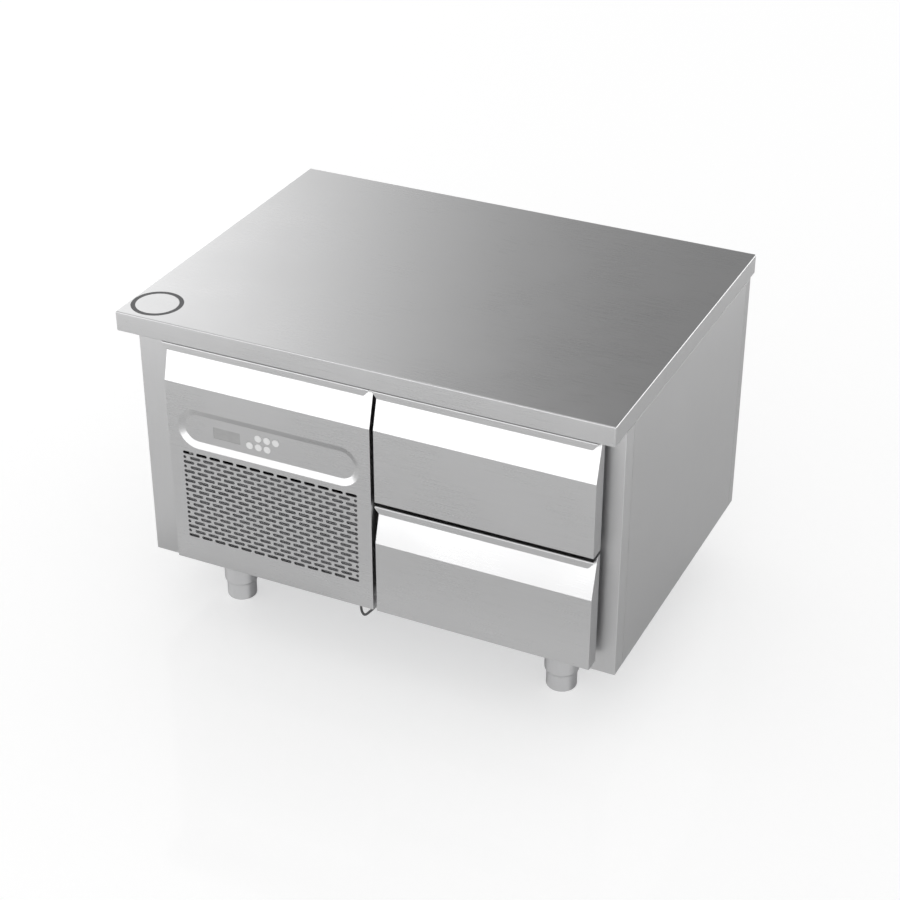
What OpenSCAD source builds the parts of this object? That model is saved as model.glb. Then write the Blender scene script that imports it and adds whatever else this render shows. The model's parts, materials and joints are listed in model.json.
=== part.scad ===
// Low refrigerated base with two drawers and a service panel.
// X runs to the right, Y to the back and Z up. The origin is on the floor, under the middle of the worktop.

/* [Worktop] */
// Width of the worktop
worktop_w = 1000; // [970:5:1200]
// Depth of the worktop
worktop_d = 750; // [740:5:850]
// Height of the worktop's turned down edge
worktop_edge = 40; // [30:1:60]
// Thickness of the worktop's sheet
worktop_sheet = 1.5; // [1:0.1:2]
// How far the worktop's return reaches over the cabinet
return_seat = 5; // [3:1:20]

/* [Cabinet] */
// Height of the cabinet from its underside to the worktop
cabinet_h = 517; // [505:1:600]
// Height of the legs with the feet screwed in
leg_h = 123; // [115:1:150]
// Overhang of the worktop on the left
left_overhang = 10; // [0:1:20]
// Overhang of the worktop on the right
right_overhang = 0; // [0:1:10]
// Overhang of the worktop in front
front_overhang = 55.5; // [54:0.5:70]
// Overhang of the worktop at the back
back_overhang = 26; // [5:1:40]
// Thickness of the outer panels
skin_t = 1.2; // [0.8:0.1:1.5]
// Depth of the front frame's box sections
frame_depth = 38.5; // [30:0.5:50]
// Wall of the front frame's box sections
frame_wall = 1.5; // [1:0.1:2]
// How far the back panel wraps round the sides
back_wrap = 25; // [15:1:40]
// Open seam between neighbouring outer panels
seam = 0.7; // [0.4:0.1:0.9]
// Width of the side panels' top flange
panel_flange = 20; // [12:1:30]

/* [Fronts] */
// Cabinet that shows to the left of the service panel
left_show = 84; // [75:0.5:95]
// Thickness of the fronts
front_t = 33; // [30:1:36]
// Sheet of the fronts
front_sheet = 1.2; // [0.8:0.1:1.5]
// How far the fronts stand behind the worktop's front edge
front_setback = 6; // [3:0.5:8]
// Cabinet that shows to the right of the drawers
right_show = 33; // [25:1:40]
// Cabinet that shows below the fronts
bottom_show = 34.5; // [25:0.5:45]
// Gap between the fronts and the worktop
top_gap = 4; // [4:0.5:12]
// Gap between the service panel and the drawers
panel_gap = 7.5; // [6:0.5:14]
// Gap between the two drawers
drawer_gap = 7.5; // [3:0.5:8]
// Height of the sloped hand hold below the top of a front
handle_h = 82; // [60:0.5:90]
// Depth of the hand hold
handle_depth = 22; // [16:1:23]
// Height of the lip that hangs in front of the hand hold
lip_h = 15; // [10:0.5:20]
// Radius of the lip's lower corners
lip_corner = 10; // [4:1:10]

/* [Front frame] */
// Overlap of a front on the frame at its sides
side_lap = 22; // [20:1:26]
// Overlap of a front on the bottom rail
bottom_lap = 22.5; // [18:0.5:26]
// Overlap of a front on the top rail
top_lap = 39.5; // [33:0.5:47]
// Height of the cross rail between the drawers
cross_rail_h = 24; // [22:1:34]
// Width of a gasket's rubber
gasket_w = 7; // [5:0.5:8]
// Free gap between a gasket and the frame
gasket_gap = 0.3; // [0.2:0.1:0.5]
// Corner radius of a gasket
gasket_corner = 6; // [5:1:8]

/* [Cold cell] */
// Foam at the back of the cell
foam_back = 50; // [40:1:60]
// Foam between the cell and the technical compartment
foam_left = 44; // [40:1:50]
// Foam in front of the evaporator
foam_front = 40; // [35:1:50]
// Sheet of the inner liner
liner_t = 1; // [0.6:0.1:1.2]
// Step from the frame's opening out to the liner
liner_step = 3; // [2.5:0.5:5]
// Width of the evaporator's space
evaporator_space = 85; // [80:1:100]
// Sheet of the partition
partition_t = 1.2; // [0.8:0.1:1.5]
// Sheet of the evaporator's cover
cover_t = 1.2; // [0.8:0.1:1.5]
// Thickness of the uprights that carry the runners
upright_t = 3; // [2.5:0.5:4]
// Width of the uprights
upright_w = 25; // [20:1:35]

/* [Drawers] */
// Sheet of the drawer boxes
box_sheet = 1.2; // [0.8:0.1:1.5]
// Free height above a drawer box in the frame's opening
box_head = 23; // [20:1:50]
// Free space behind the drawer boxes
box_room = 73; // [60:1:100]
// Clearance under a drawer box in the frame's opening
box_lift = 6; // [4:0.5:10]
// Outward rim of a drawer box
box_rim = 9; // [6:1:12]
// Free space behind the runners
runner_room = 72; // [50:1:110]
// Height of the outer runners
runner_h = 44; // [38:1:48]
// Thickness of a runner set, from upright to drawer box
runner_t = 16; // [15:0.5:18]
// Sheet of the runners
runner_sheet = 1.5; // [1.2:0.1:1.6]
// Gap between sliding members
slide_gap = 0.3; // [0.2:0.05:0.4]
// Height of the runners' middle above the drawer box's bottom
runner_lift = 60; // [50:1:70]

/* [Service panel] */
// Least plain strip between the slots and the sides of the panel
slot_side = 26; // [24:0.5:30]
// Least plain strip between the slots and the recess
slot_top = 7; // [6.5:0.5:10]
// Distance between slots along a row
slot_pitch = 29.3; // [28:0.1:29.5]
// Distance between neighbouring rows
row_pitch = 10.45; // [9.5:0.05:10.5]
// Length of a slot
slot_len = 23.5; // [20:0.5:24.5]
// Height of a slot
slot_h = 6.4; // [5:0.1:7]
// Plain border of the grille sheet around its slots
grille_border = 6; // [4:0.5:6]
// Middle of the grille's lowest row above the bottom of the panel
grille_lift = 58.5; // [50:0.5:62]
// Plain strip at both ends of the pressed recess
recess_side = 22; // [18:0.5:30]
// Height of the pressed recess
recess_h = 84; // [80:1:90]
// Depth of the pressed recess
recess_depth = 5; // [3:0.5:5]
// Width of the recess's sloped border
recess_border = 13; // [9:0.5:14]
// Distance of the recess below the hand hold's bend
recess_drop = 51; // [45:0.5:57]
// Gap between the grille and the air filter behind it
filter_gap = 4; // [3:0.5:8]
// Thickness of the air filter
filter_t = 6; // [4:0.5:8]
// Wall of the air filter's frame
filter_wall = 1.5; // [1:0.5:2]
// Width of the display window
display_w = 58; // [50:1:64]
// Height of the display window
display_h = 24; // [18:1:28]
// Middle of the display, left of the panel's middle
display_left = 90; // [80:1:110]
// Height of the display's middle above the recess's middle
display_up = -0.5; // [-2:0.5:6]
// Diameter of a push button
button_d = 15; // [12:0.5:16]
// Distance between push buttons
button_pitch = 18.9; // [18:0.1:20]
// Middle button of the upper row, left of the panel's middle
button_left = 2.8; // [0:0.1:8]
// Height of the upper row above the recess's middle
button_up = 10.3; // [9:0.1:14]
// How far a button stands out of the recess
button_proud = 1; // [0.8:0.1:1.5]
// Clearance around a button
button_gap = 0.3; // [0.2:0.05:0.4]
// Wall of the controller's housing
housing_wall = 2; // [1.5:0.5:3]
// Depth of the controller's housing
housing_depth = 24; // [18:1:26]
// Distance of the hinge's axis from the panel's left end
hinge_inset = 12; // [11:0.5:14]
// Distance of the hinge's axis from the panel's rear plane
hinge_back = 5; // [4.8:0.1:6]
// Diameter of the hinge pins
hinge_pin_d = 8; // [6:0.5:8]
// Radial clearance of the hinge pins
pin_gap = 0.05; // [0.02:0.01:0.1]
// Thickness of the hinge brackets
hinge_bracket_t = 3; // [2:0.5:3]
// Length of a hinge pin in its bush
hinge_pin_len = 12; // [8:1:16]

/* [Legs] */
// Distance of the legs from the cabinet's front face
leg_front = 87; // [75:1:110]
// Distance of the legs from the cabinet's back
leg_back = 87; // [75:1:110]
// Distance of the left legs from the cabinet's side
leg_left = 140; // [110:1:150]
// Distance of the right legs from the cabinet's side
leg_right = 139; // [110:1:150]
// Diameter of a leg's fixed sleeve
sleeve_d = 68; // [64:1:74]
// Height of the sleeve's tapered lower end
sleeve_taper = 10; // [6:1:14]
// Wall of the leg's sleeve
sleeve_wall = 3; // [2:0.5:4]
// Diameter of a levelling foot
foot_d = 60; // [54:1:62]
// Height of a levelling foot below its sleeve
foot_h = 32; // [26:1:38]
// Radius of the foot's lower edge
foot_edge = 4; // [2:0.5:6]
// Diameter of the foot's threaded stem
stem_d = 30; // [24:1:36]
// Length of the stem inside the sleeve
stem_len = 70; // [60:1:72]

/* [Technical compartment] */
// Height of the condenser above the base panel
condenser_lift = 60; // [50:1:80]
// Free height above the condenser
condenser_head = 176; // [150:1:200]
// Diameter of the compressor's shell
compressor_d = 180; // [160:5:190]
// Height of the compressor's shell
compressor_h = 200; // [180:5:230]
// Height of the compressor's rubber mounts
mount_h = 22; // [16:1:30]
// Depth of the condenser
condenser_t = 55; // [45:1:60]
// Distance between condenser fins
fin_pitch = 6; // [5:0.5:8]
// Thickness of a fin
fin_t = 1.2; // [0.8:0.1:1.5]
// Margin between the condenser's fan and the edges of its shroud
fan_margin = 20; // [18:1:40]
// Depth of the fan's shroud
shroud_depth = 40; // [30:1:50]
// Radial clearance round a fan's blades
blade_gap = 4; // [3:0.5:6]
// Radius of the evaporator's fan
evaporator_fan_r = 58; // [50:1:60]
// Diameter of the fan motors
motor_d = 66; // [56:1:70]
// Width of the electrical box
electrical_w = 58; // [45:1:65]
// Height of the condensate tray
tray_h = 45; // [35:1:60]
// Depth of the condensate tray
tray_d = 210; // [160:5:240]
// Height of the evaporator's fins above the liner's floor
evaporator_lift = 22; // [16:1:30]
// Free height above the evaporator's fins
evaporator_head = 60; // [50:1:70]
// Free space between the evaporator and its fan
evaporator_room = 114; // [90:1:140]

/* [Lead] */
// Diameter of the lead that loops under the mullion
lead_d = 5; // [4.5:0.1:5.2]

/* [Hidden] */
$fn = 48;

steel = [0.74, 0.74, 0.75];
dark_steel = [0.62, 0.62, 0.63];
foam = [0.86, 0.8, 0.6];
rubber = [0.16, 0.16, 0.17];
copper = [0.75, 0.45, 0.3];
fin_metal = [0.8, 0.81, 0.83];
pale_plastic = [0.88, 0.88, 0.87];
dark_plastic = [0.2, 0.2, 0.22];

// Worktop and cabinet
top_x0 = -worktop_w / 2;
top_x1 = worktop_w / 2;
top_y0 = -worktop_d / 2;
top_y1 = worktop_d / 2;
cab_x0 = top_x0 + left_overhang;
cab_x1 = top_x1 - right_overhang;
cab_y0 = top_y0 + front_overhang;
cab_y1 = top_y1 - back_overhang;
cab_z0 = leg_h;
cab_z1 = leg_h + cabinet_h;
top_z = cab_z1 + worktop_edge;
frame_y1 = cab_y0 + frame_depth;
panel_z1 = cab_z1 - skin_t;
floor_z = cab_z0 + skin_t;

// Fronts
front_w = (cab_x1 - cab_x0 - left_show - panel_gap - right_show) / 2;
front_y = top_y0 + front_setback;
front_y1 = front_y + front_t;
fronts_z0 = cab_z0 + bottom_show;
fronts_h = cab_z1 - top_gap - fronts_z0;
drawer_h = (fronts_h - drawer_gap) / 2;
drawer_z = [fronts_z0, fronts_z0 + drawer_h + drawer_gap];
drawer_x1 = cab_x1 - right_show;
drawer_x0 = drawer_x1 - front_w;
panel_x1 = drawer_x0 - panel_gap;
panel_x0 = panel_x1 - front_w;
slope = handle_depth / (handle_h - front_sheet);
slope_sheet = front_sheet * sqrt(1 + slope * slope);

// Openings of the front frame
cold_x0 = drawer_x0 + side_lap;
cold_x1 = drawer_x1 - side_lap;
tech_x0 = panel_x0 + side_lap;
tech_x1 = panel_x1 - side_lap;
open_z0 = fronts_z0 + bottom_lap;
open_z1 = fronts_z0 + fronts_h - top_lap;
cross_z0 = fronts_z0 + drawer_h + (drawer_gap - cross_rail_h) / 2;
cross_z1 = cross_z0 + cross_rail_h;
drawer_open_z = [open_z0, cross_z1];
drawer_open_h = [cross_z0 - open_z0, open_z1 - cross_z1];

// Cold cell
liner_x1 = cold_x1 + liner_step;
cover_x1 = cold_x0 - liner_step;
cover_x0 = cover_x1 - cover_t;
liner_x0 = cover_x0 - evaporator_space;
cell_x0 = liner_x0 - liner_t - foam_left;
cell_x1 = cab_x1 - skin_t;
cell_y1 = cab_y1 - skin_t;
liner_y1 = cell_y1 - foam_back - liner_t;
liner_z0 = open_z0 - liner_step;
liner_z1 = open_z1 + liner_step;
evaporator_y0 = frame_y1 + foam_front + liner_t;
partition_x0 = cell_x0 - partition_t;

// Drawers and runners
runner_x = [cover_x1 + upright_t, liner_x1 - upright_t];
box_x0 = runner_x[0] + runner_t;
box_x1 = runner_x[1] - runner_t;
box_h = min(drawer_open_h) - box_lift - box_head;
box_len = liner_y1 - box_room - front_y1;
box_z = [drawer_open_z[0] + box_lift, drawer_open_z[1] + box_lift];
runner_y0 = frame_y1 + 6;
runner_len = liner_y1 - runner_room - runner_y0;
flange_gap = runner_sheet + slide_gap;
mid_h = runner_h - 2 * flange_gap;
inner_h = mid_h - 2 * flange_gap;

// Service panel, in its own corner's frame
panel_mid = front_w / 2;
recess_len = front_w - 2 * recess_side;
recess_lift = fronts_h - handle_h - recess_drop - recess_h / 2;
slots_across = 1 + floor((front_w - 2 * slot_side - slot_len) / slot_pitch);
slot_rows = 1 + floor((recess_lift - recess_h / 2 - slot_top - slot_h / 2 - grille_lift) / (2 * row_pitch));
grille_w = (slots_across - 1) * slot_pitch + slot_len + 2 * grille_border;
grille_h = 2 * (slot_rows - 1) * row_pitch + slot_h + 2 * grille_border;
grille_z0 = grille_lift - slot_h / 2 - grille_border;
recess_floor = recess_depth + front_sheet;
filler_w = recess_side - front_sheet - 0.5;
// The filter ends between the two upper rows, seen from the height of someone who stands in front
filter_top = grille_lift + (2 * slot_rows - 3) * row_pitch + 2;
filter_w = grille_w + 2;
// The push buttons' middles, measured from the middle of the recess
button_at = [
    [-button_left - button_pitch, button_up], [-button_left, button_up], [-button_left + button_pitch, button_up],
    [-button_left - 2 * button_pitch, button_up - button_pitch],
    [-button_left - button_pitch, button_up - button_pitch], [-button_left, button_up - button_pitch]
];
hinge_x = panel_x0 + hinge_inset;
hinge_y = front_y1 - hinge_back;

// Legs
leg_x = [cab_x0 + leg_left, cab_x1 - leg_right];
leg_y = [cab_y0 + leg_front, cab_y1 - leg_back];
foot_play = 0.3;

// Technical compartment
tech_wall = cab_x0 + skin_t;
coil_gap = 8;
end_plate = 1.5;
bend_r = 12;
condenser_x1 = partition_x0 - coil_gap - bend_r - end_plate;
condenser_x0 = tech_x0 + end_plate + bend_r;
condenser_w = condenser_x1 - condenser_x0;
condenser_y0 = frame_y1 + coil_gap;
condenser_y1 = condenser_y0 + condenser_t;
condenser_z0 = floor_z + condenser_lift;
condenser_h = cab_z1 - condenser_head - condenser_z0;
fan_r = min(condenser_w, condenser_h) / 2 - fan_margin;
fan_x = (condenser_x0 + condenser_x1) / 2;
fan_z = condenser_z0 + condenser_h / 2;
shroud_t = 1.5;
shroud_y1 = condenser_y1 + shroud_depth;
shaft_d = 8;
motor_len = 46;
motor_stand = 34;
compressor_x = fan_x;
compressor_y = (shroud_y1 + motor_stand + motor_len + cell_y1) / 2;
tray_gap = 12;

// Evaporator
evaporator_t = 56;
evaporator_x0 = liner_x0 + 6;
evaporator_y1 = liner_y1 - bend_r - 8;
evaporator_z0 = liner_z0 + evaporator_lift;
evaporator_h = liner_z1 - evaporator_head - evaporator_z0;
evaporator_fan_y = evaporator_y0 + 95;
evaporator_len = evaporator_y1 - evaporator_fan_y - evaporator_fan_r - evaporator_room;
evaporator_fan_z = (open_z0 + open_z1) / 2 - 32;
port_y = evaporator_y1 - 20;
port_z = liner_z1 - 30;
port_d = 34;

// The lead's route, as hand chosen points: their X, and their Z above the cabinet's underside
lead_y = cab_y0 + 7;
lead_points = [
    [-30.6, 8], [-30.6, 2], [-30.6, -4], [-30.5, -9], [-30.1, -14.5], [-29.3, -19.4], [-27.9, -23.6],
    [-25.6, -26.8], [-22.6, -27.8], [-19.2, -25.8], [-16.4, -23], [-13.4, -19.5], [-10.2, -15.7], [-7.2, -12.1],
    [-4.5, -8.9], [-2.2, -5.6], [-1.2, -2], [-1.2, 8]
];
lead_ends = [lead_points[0], lead_points[len(lead_points) - 1]];
lead_sides = 10;

// A solid given by its two opposite corners
module block(a, b) {
    translate(a) cube(b - a);
}

// Extrudes a side outline, drawn in Y and Z, along X
module along_x(w) {
    rotate([90, 0, 90]) linear_extrude(w) children();
}

// Extrudes a front outline, drawn in X and Z, along Y
module along_y(d) {
    translate([0, d, 0]) rotate([90, 0, 0]) linear_extrude(d) children();
}

// A flat shape with straight sides and round ends, centred
module obround(length, height) {
    square([length - height, height], center = true);
    for (side = [-1, 1]) translate([side * (length - height) / 2, 0]) circle(d = height);
}

// A square with rounded corners
module rounded_square(size, r) {
    translate([r, 0]) square([size[0] - 2 * r, size[1]]);
    translate([0, r]) square([size[0], size[1] - 2 * r]);
    for (x = [r, size[0] - r], y = [r, size[1] - r]) translate([x, y]) circle(r);
}

module worktop() {
    inset = worktop_sheet;
    under = front_overhang + return_seat;
    color(steel) difference() {
        block([top_x0, top_y0, cab_z1], [top_x1, top_y1, top_z]);
        block([top_x0 + inset, top_y0 + inset, cab_z1 + inset], [top_x1 - inset, top_y1 - inset, top_z - inset]);
        block([top_x0 + under, top_y0 + under, cab_z1 - 1], [top_x1 - under, top_y1 - under, cab_z1 + inset + 1]);
    }
}

module worktop_board() {
    inset = worktop_sheet;
    color([0.55, 0.42, 0.28])
        block([top_x0 + inset, top_y0 + inset, cab_z1 + inset], [top_x1 - inset, top_y1 - inset, top_z - inset]);
}

// Side panel with a top flange, drawn for the left side with its outer face at X = 0
module side_sheet() {
    y0 = frame_y1 + seam;
    y1 = cab_y1 - back_wrap - seam;
    block([0, y0, floor_z], [skin_t, y1, cab_z1]);
    block([0, y0, panel_z1], [panel_flange, y1, cab_z1]);
}

module left_side_panel() {
    color(steel) translate([cab_x0, 0, 0]) side_sheet();
}

module right_side_panel() {
    color(steel) translate([cab_x1, 0, 0]) mirror([1, 0, 0]) side_sheet();
}

module back_panel() {
    color(steel) {
        block([cab_x0, cell_y1, floor_z], [cab_x1, cab_y1, cab_z1]);
        block([cab_x0, cab_y1 - back_wrap, floor_z], [cab_x0 + skin_t, cab_y1, cab_z1]);
        block([cell_x1, cab_y1 - back_wrap, floor_z], [cab_x1, cab_y1, cab_z1]);
    }
}

module base_panel() {
    color(dark_steel) block([cab_x0, frame_y1, cab_z0], [cab_x1, cab_y1, floor_z]);
}

// A box section with one open end. The open end is the one at the high side of the given axis.
module box_section(a, b, open_axis) {
    w = frame_wall;
    far = [for (i = [0:2]) i == open_axis ? b[i] + 1 : b[i] - w];
    difference() {
        block(a, b);
        block([a[0] + w, a[1] + w, a[2] + w], far);
    }
}

module left_stile() {
    color(steel) box_section([cab_x0, cab_y0, cab_z0], [tech_x0, frame_y1, cab_z1], 2);
}

module right_stile() {
    color(steel) box_section([cold_x1, cab_y0, cab_z0], [cab_x1, frame_y1, cab_z1], 2);
}

module mullion() {
    color(steel) box_section([tech_x1, cab_y0, open_z0], [cold_x0, frame_y1, open_z1], 2);
}

module bottom_rail() {
    color(steel) difference() {
        box_section([tech_x0, cab_y0, cab_z0], [cold_x1, frame_y1, open_z0], 0);
        for (p = lead_ends) translate([p[0], lead_y, cab_z0 - 1]) cylinder(h = frame_wall + 2, d = lead_d + 4.6);
    }
}

module top_rail() {
    color(steel) box_section([tech_x0, cab_y0, open_z1], [cold_x1, frame_y1, cab_z1], 0);
}

module cross_rail() {
    color(steel) box_section([cold_x0, cab_y0, cross_z0], [cold_x1, frame_y1, cross_z1], 0);
}

// The port for the refrigerant pipes, through the cell's left wall
module pipe_port(x0, x1) {
    translate([x0 - 1, port_y, port_z]) rotate([0, 90, 0]) cylinder(h = x1 - x0 + 2, d = port_d);
}

// The slabs of foam round the cold cell
module foam_insulation() {
    x0 = liner_x0 - liner_t;
    x1 = liner_x1 + liner_t;
    y1 = liner_y1 + liner_t;
    z0 = liner_z0 - liner_t;
    z1 = liner_z1 + liner_t;
    color(foam) {
        block([cell_x0, frame_y1, floor_z], [cell_x1, cell_y1, z0]);
        block([cell_x0, frame_y1, z1], [cell_x1, cell_y1, panel_z1]);
        block([x1, frame_y1, z0], [cell_x1, cell_y1, z1]);
        block([x0, y1, z0], [x1, cell_y1, z1]);
        block([x0, frame_y1, z0], [cover_x0, evaporator_y0 - liner_t, z1]);
        difference() {
            block([cell_x0, frame_y1, z0], [x0, cell_y1, z1]);
            pipe_port(cell_x0, x0);
        }
    }
}

// The room inside the liner, grown by the liner's sheet where that is wanted
module cell_room(grow) {
    z0 = liner_z0 - grow;
    z1 = liner_z1 + grow;
    block([cover_x0, frame_y1, z0], [liner_x1 + grow, liner_y1 + grow, z1]);
    block([liner_x0 - grow, evaporator_y0 - grow, z0], [cover_x0 + liner_t, liner_y1 + grow, z1]);
}

module inner_liner() {
    color(steel) difference() {
        cell_room(liner_t);
        cell_room(0);
        block([cover_x0 + liner_t, frame_y1 - 1, liner_z0], [liner_x1, frame_y1 + 1, liner_z1]);
        pipe_port(liner_x0 - liner_t, liner_x0);
    }
}

module partition() {
    color(dark_steel) difference() {
        union() {
            block([partition_x0, frame_y1, floor_z], [cell_x0, cell_y1, panel_z1]);
            block([partition_x0, frame_y1 - partition_t, open_z0], [tech_x1, frame_y1, open_z1]);
        }
        pipe_port(partition_x0, cell_x0);
    }
}

// The evaporator's cover, with a ring round its fan and a folded drip edge
module evaporator_cover() {
    drip = 18;
    ring = 2;
    at = [cover_x0, evaporator_fan_y, evaporator_fan_z];
    color(steel) difference() {
        union() {
            block([cover_x0, frame_y1, liner_z0], [cover_x1, liner_y1, liner_z1]);
            block([cover_x0 - drip, evaporator_y0, liner_z0], [cover_x0, liner_y1, liner_z0 + cover_t]);
            block([cover_x0 - drip, evaporator_y0, liner_z0], [cover_x0 - drip + cover_t, liner_y1, liner_z0 + drip]);
            translate(at) rotate([0, -90, 0]) cylinder(h = 16, r = evaporator_fan_r + blade_gap + ring);
        }
        translate(at - [20, 0, 0]) rotate([0, 90, 0]) cylinder(h = 40, r = evaporator_fan_r + blade_gap);
    }
}

// The uprights that the runners hook into: two on each side of the drawers
module runner_uprights() {
    y_front = runner_y0 + 10;
    y_back = runner_y0 + runner_len - upright_w - 10;
    color(steel) for (y = [y_front, y_back]) {
        block([cover_x1, y, liner_z0], [runner_x[0], y + upright_w, liner_z1]);
        block([runner_x[1], y, liner_z0], [liner_x1, y + upright_w, liner_z1]);
    }
}

// Cross sections of a left runner set, in X and Z, with the upright's face at X = 0 and the middle at Z = 0
module outer_section() {
    difference() {
        translate([0, -runner_h / 2]) square([runner_t - 3, runner_h]);
        translate([runner_sheet, runner_sheet - runner_h / 2]) square([runner_t, runner_h - 2 * runner_sheet]);
    }
}

module mid_section() {
    web_x = runner_t / 2 - runner_sheet - 0.5;
    x0 = runner_sheet + 0.5;
    x1 = runner_t - 4;
    translate([web_x, -mid_h / 2]) square([runner_sheet, mid_h]);
    for (z = [-mid_h / 2, mid_h / 2 - runner_sheet]) translate([x0, z]) square([x1 - x0, runner_sheet]);
}

module inner_section() {
    x0 = runner_t / 2 + 0.5;
    difference() {
        translate([x0, -inner_h / 2]) square([runner_t - x0, inner_h]);
        translate([x0 - 1, runner_sheet - inner_h / 2])
            square([runner_t - x0 + 1 - runner_sheet, inner_h - 2 * runner_sheet]);
    }
}

// Both runners of one drawer, from a left cross section
module runner_pair(level) {
    z = box_z[level] + runner_lift;
    translate([runner_x[0], runner_y0, z]) along_y(runner_len) children();
    translate([runner_x[1], runner_y0, z]) mirror([1, 0, 0]) along_y(runner_len) children();
}

module outer_runners() {
    color(dark_steel) for (level = [0, 1]) runner_pair(level) outer_section();
}

module mid_runners(level) {
    color(steel) runner_pair(level) mid_section();
}

module inner_runners(level) {
    color(dark_steel) runner_pair(level) inner_section();
}

// A rubber frame that closes a drawer on the front frame
module gasket(level) {
    w = cold_x1 - cold_x0;
    h = drawer_open_h[level];
    t = cab_y0 - front_y1 - gasket_gap;
    color(rubber) translate([cold_x0, front_y1, drawer_open_z[level]]) along_y(t) difference() {
        translate([-gasket_w, -gasket_w]) rounded_square([w + 2 * gasket_w, h + 2 * gasket_w], gasket_corner);
        translate([1, 1]) square([w - 2, h - 2]);
    }
}

// A drawer box: four walls, a bottom with ribs pressed along it, and an outward rim at the top
module drawer_box(level) {
    s = box_sheet;
    y0 = front_y1;
    y1 = y0 + box_len;
    z0 = box_z[level];
    z1 = z0 + box_h;
    ribs = 5;
    color(steel) difference() {
        union() {
            block([box_x0, y0, z0], [box_x1, y1, z1]);
            block([box_x0 - box_rim, cab_y0 - frame_wall, z1 - s], [box_x1 + box_rim, y1, z1]);
        }
        block([box_x0 + s, y0 + s, z0 + s], [box_x1 - s, y1 - s, z1 + 1]);
        for (i = [1:ribs]) translate([box_x0 + i * (box_x1 - box_x0) / (ribs + 1), y0 + 40, z0 - 1])
            cube([4, box_len - 80, s / 2 + 1]);
    }
}

// Side outline of a front's folded sheet, in Y and Z from its lower front corner
module front_outline(h) {
    s = front_sheet;
    t = front_t;
    bend = h - handle_h;
    polygon([
        [t, h], [0, h], [0, h - lip_h], [s, h - lip_h], [s, h - s], [handle_depth, h - s], [0, bend], [0, 0],
        [t, 0], [t, s], [s, s], [s, bend + (s - slope_sheet) / slope], [handle_depth + slope_sheet, h - s], [t, h - s]
    ]);
}

// The room inside a front's folded sheet
module filling_outline(h) {
    s = front_sheet;
    bend = h - handle_h;
    polygon([
        [front_t, s], [s, s], [s, bend + (s - slope_sheet) / slope], [handle_depth + slope_sheet, h - s],
        [front_t, h - s]
    ]);
}

// What the rounded lower corners of the lip leave out, in X and Z
module lip_corners(h) {
    r = min(lip_corner, lip_h - front_sheet);
    for (side = [0, 1]) translate([side * front_w, h - lip_h]) mirror([side, 0]) difference() {
        translate([-1, -1]) square([r + 1, r + 1]);
        translate([r, r]) circle(r);
    }
}

// The folded sheet of a front: face, hand hold, lip, ends and flanges
module front_sheet_metal(h) {
    s = front_sheet;
    difference() {
        union() {
            along_x(front_w) front_outline(h);
            for (x = [0, front_w - s]) translate([x, 0, 0]) along_x(s) {
                filling_outline(h);
                front_outline(h);
            }
        }
        translate([0, -1, 0]) along_y(s + 1) lip_corners(h);
    }
}

module drawer_front_skin(level) {
    color(steel) translate([drawer_x0, front_y, drawer_z[level]]) front_sheet_metal(drawer_h);
}

module drawer_front_core(level) {
    s = front_sheet;
    color(pale_plastic) translate([drawer_x0 + s, front_y, drawer_z[level]])
        along_x(front_w - 2 * s) filling_outline(drawer_h);
}

// A pressed pan with sloped sides: an obround that narrows with depth, its mouth at Y = 0
module obround_pan(length, height, border, depth) {
    reach = (length - height) / 2;
    r = height / 2;
    for (side = [-1, 1]) translate([side * reach, 0, 0]) rotate([-90, 0, 0])
        cylinder(h = depth, r1 = r, r2 = r - border);
    translate([-reach, 0, 0]) along_x(2 * reach)
        polygon([[0, -r], [0, r], [depth, r - border], [depth, border - r]]);
}

module hinge_bores(z0, length, extra) {
    translate([hinge_inset, front_t - hinge_back, z0]) cylinder(h = length, d = hinge_pin_d + extra);
}

// Slots of the grille in a brick pattern, with a round hole at both ends of the offset rows
module grille_slots() {
    for (row = [0:slot_rows - 1], i = [0:slots_across - 1])
        translate([i * slot_pitch, 2 * row * row_pitch]) obround(slot_len, slot_h);
    for (row = [0:slot_rows - 2]) translate([0, (2 * row + 1) * row_pitch]) {
        for (i = [0:slots_across - 2]) translate([(i + 0.5) * slot_pitch, 0]) obround(slot_len, slot_h);
        for (x = [slot_h - slot_len, slot_len - slot_h + 2 * (slots_across - 1) * slot_pitch]) {
            translate([x / 2, 0]) circle(d = slot_h);
        }
    }
}

module air_grille() {
    color(dark_steel) translate([panel_x0 + panel_mid, front_y, fronts_z0 + grille_z0]) along_y(front_sheet)
        difference() {
            translate([-grille_w / 2, 0]) square([grille_w, grille_h]);
            translate([-(slots_across - 1) * slot_pitch / 2, grille_border + slot_h / 2]) grille_slots();
        }
}

// The air filter: a mat in a frame that is open at its top, held on the panel's back behind the grille
module air_filter() {
    w = filter_w;
    z0 = grille_z0 - 4;
    s = front_sheet;
    color(dark_plastic) translate([panel_x0 + panel_mid, front_y, fronts_z0]) {
        difference() {
            translate([-w / 2, s, z0]) cube([w, filter_gap + filter_t, filter_top - z0]);
            translate([filter_wall - w / 2, s - 1, z0 + filter_wall])
                cube([w - 2 * filter_wall, filter_gap + filter_t + 2, filter_top - z0]);
        }
        translate([filter_wall - w / 2, s + filter_gap, z0 + filter_wall])
            cube([w - 2 * filter_wall, filter_t, filter_top - z0 - filter_wall]);
    }
}

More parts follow.
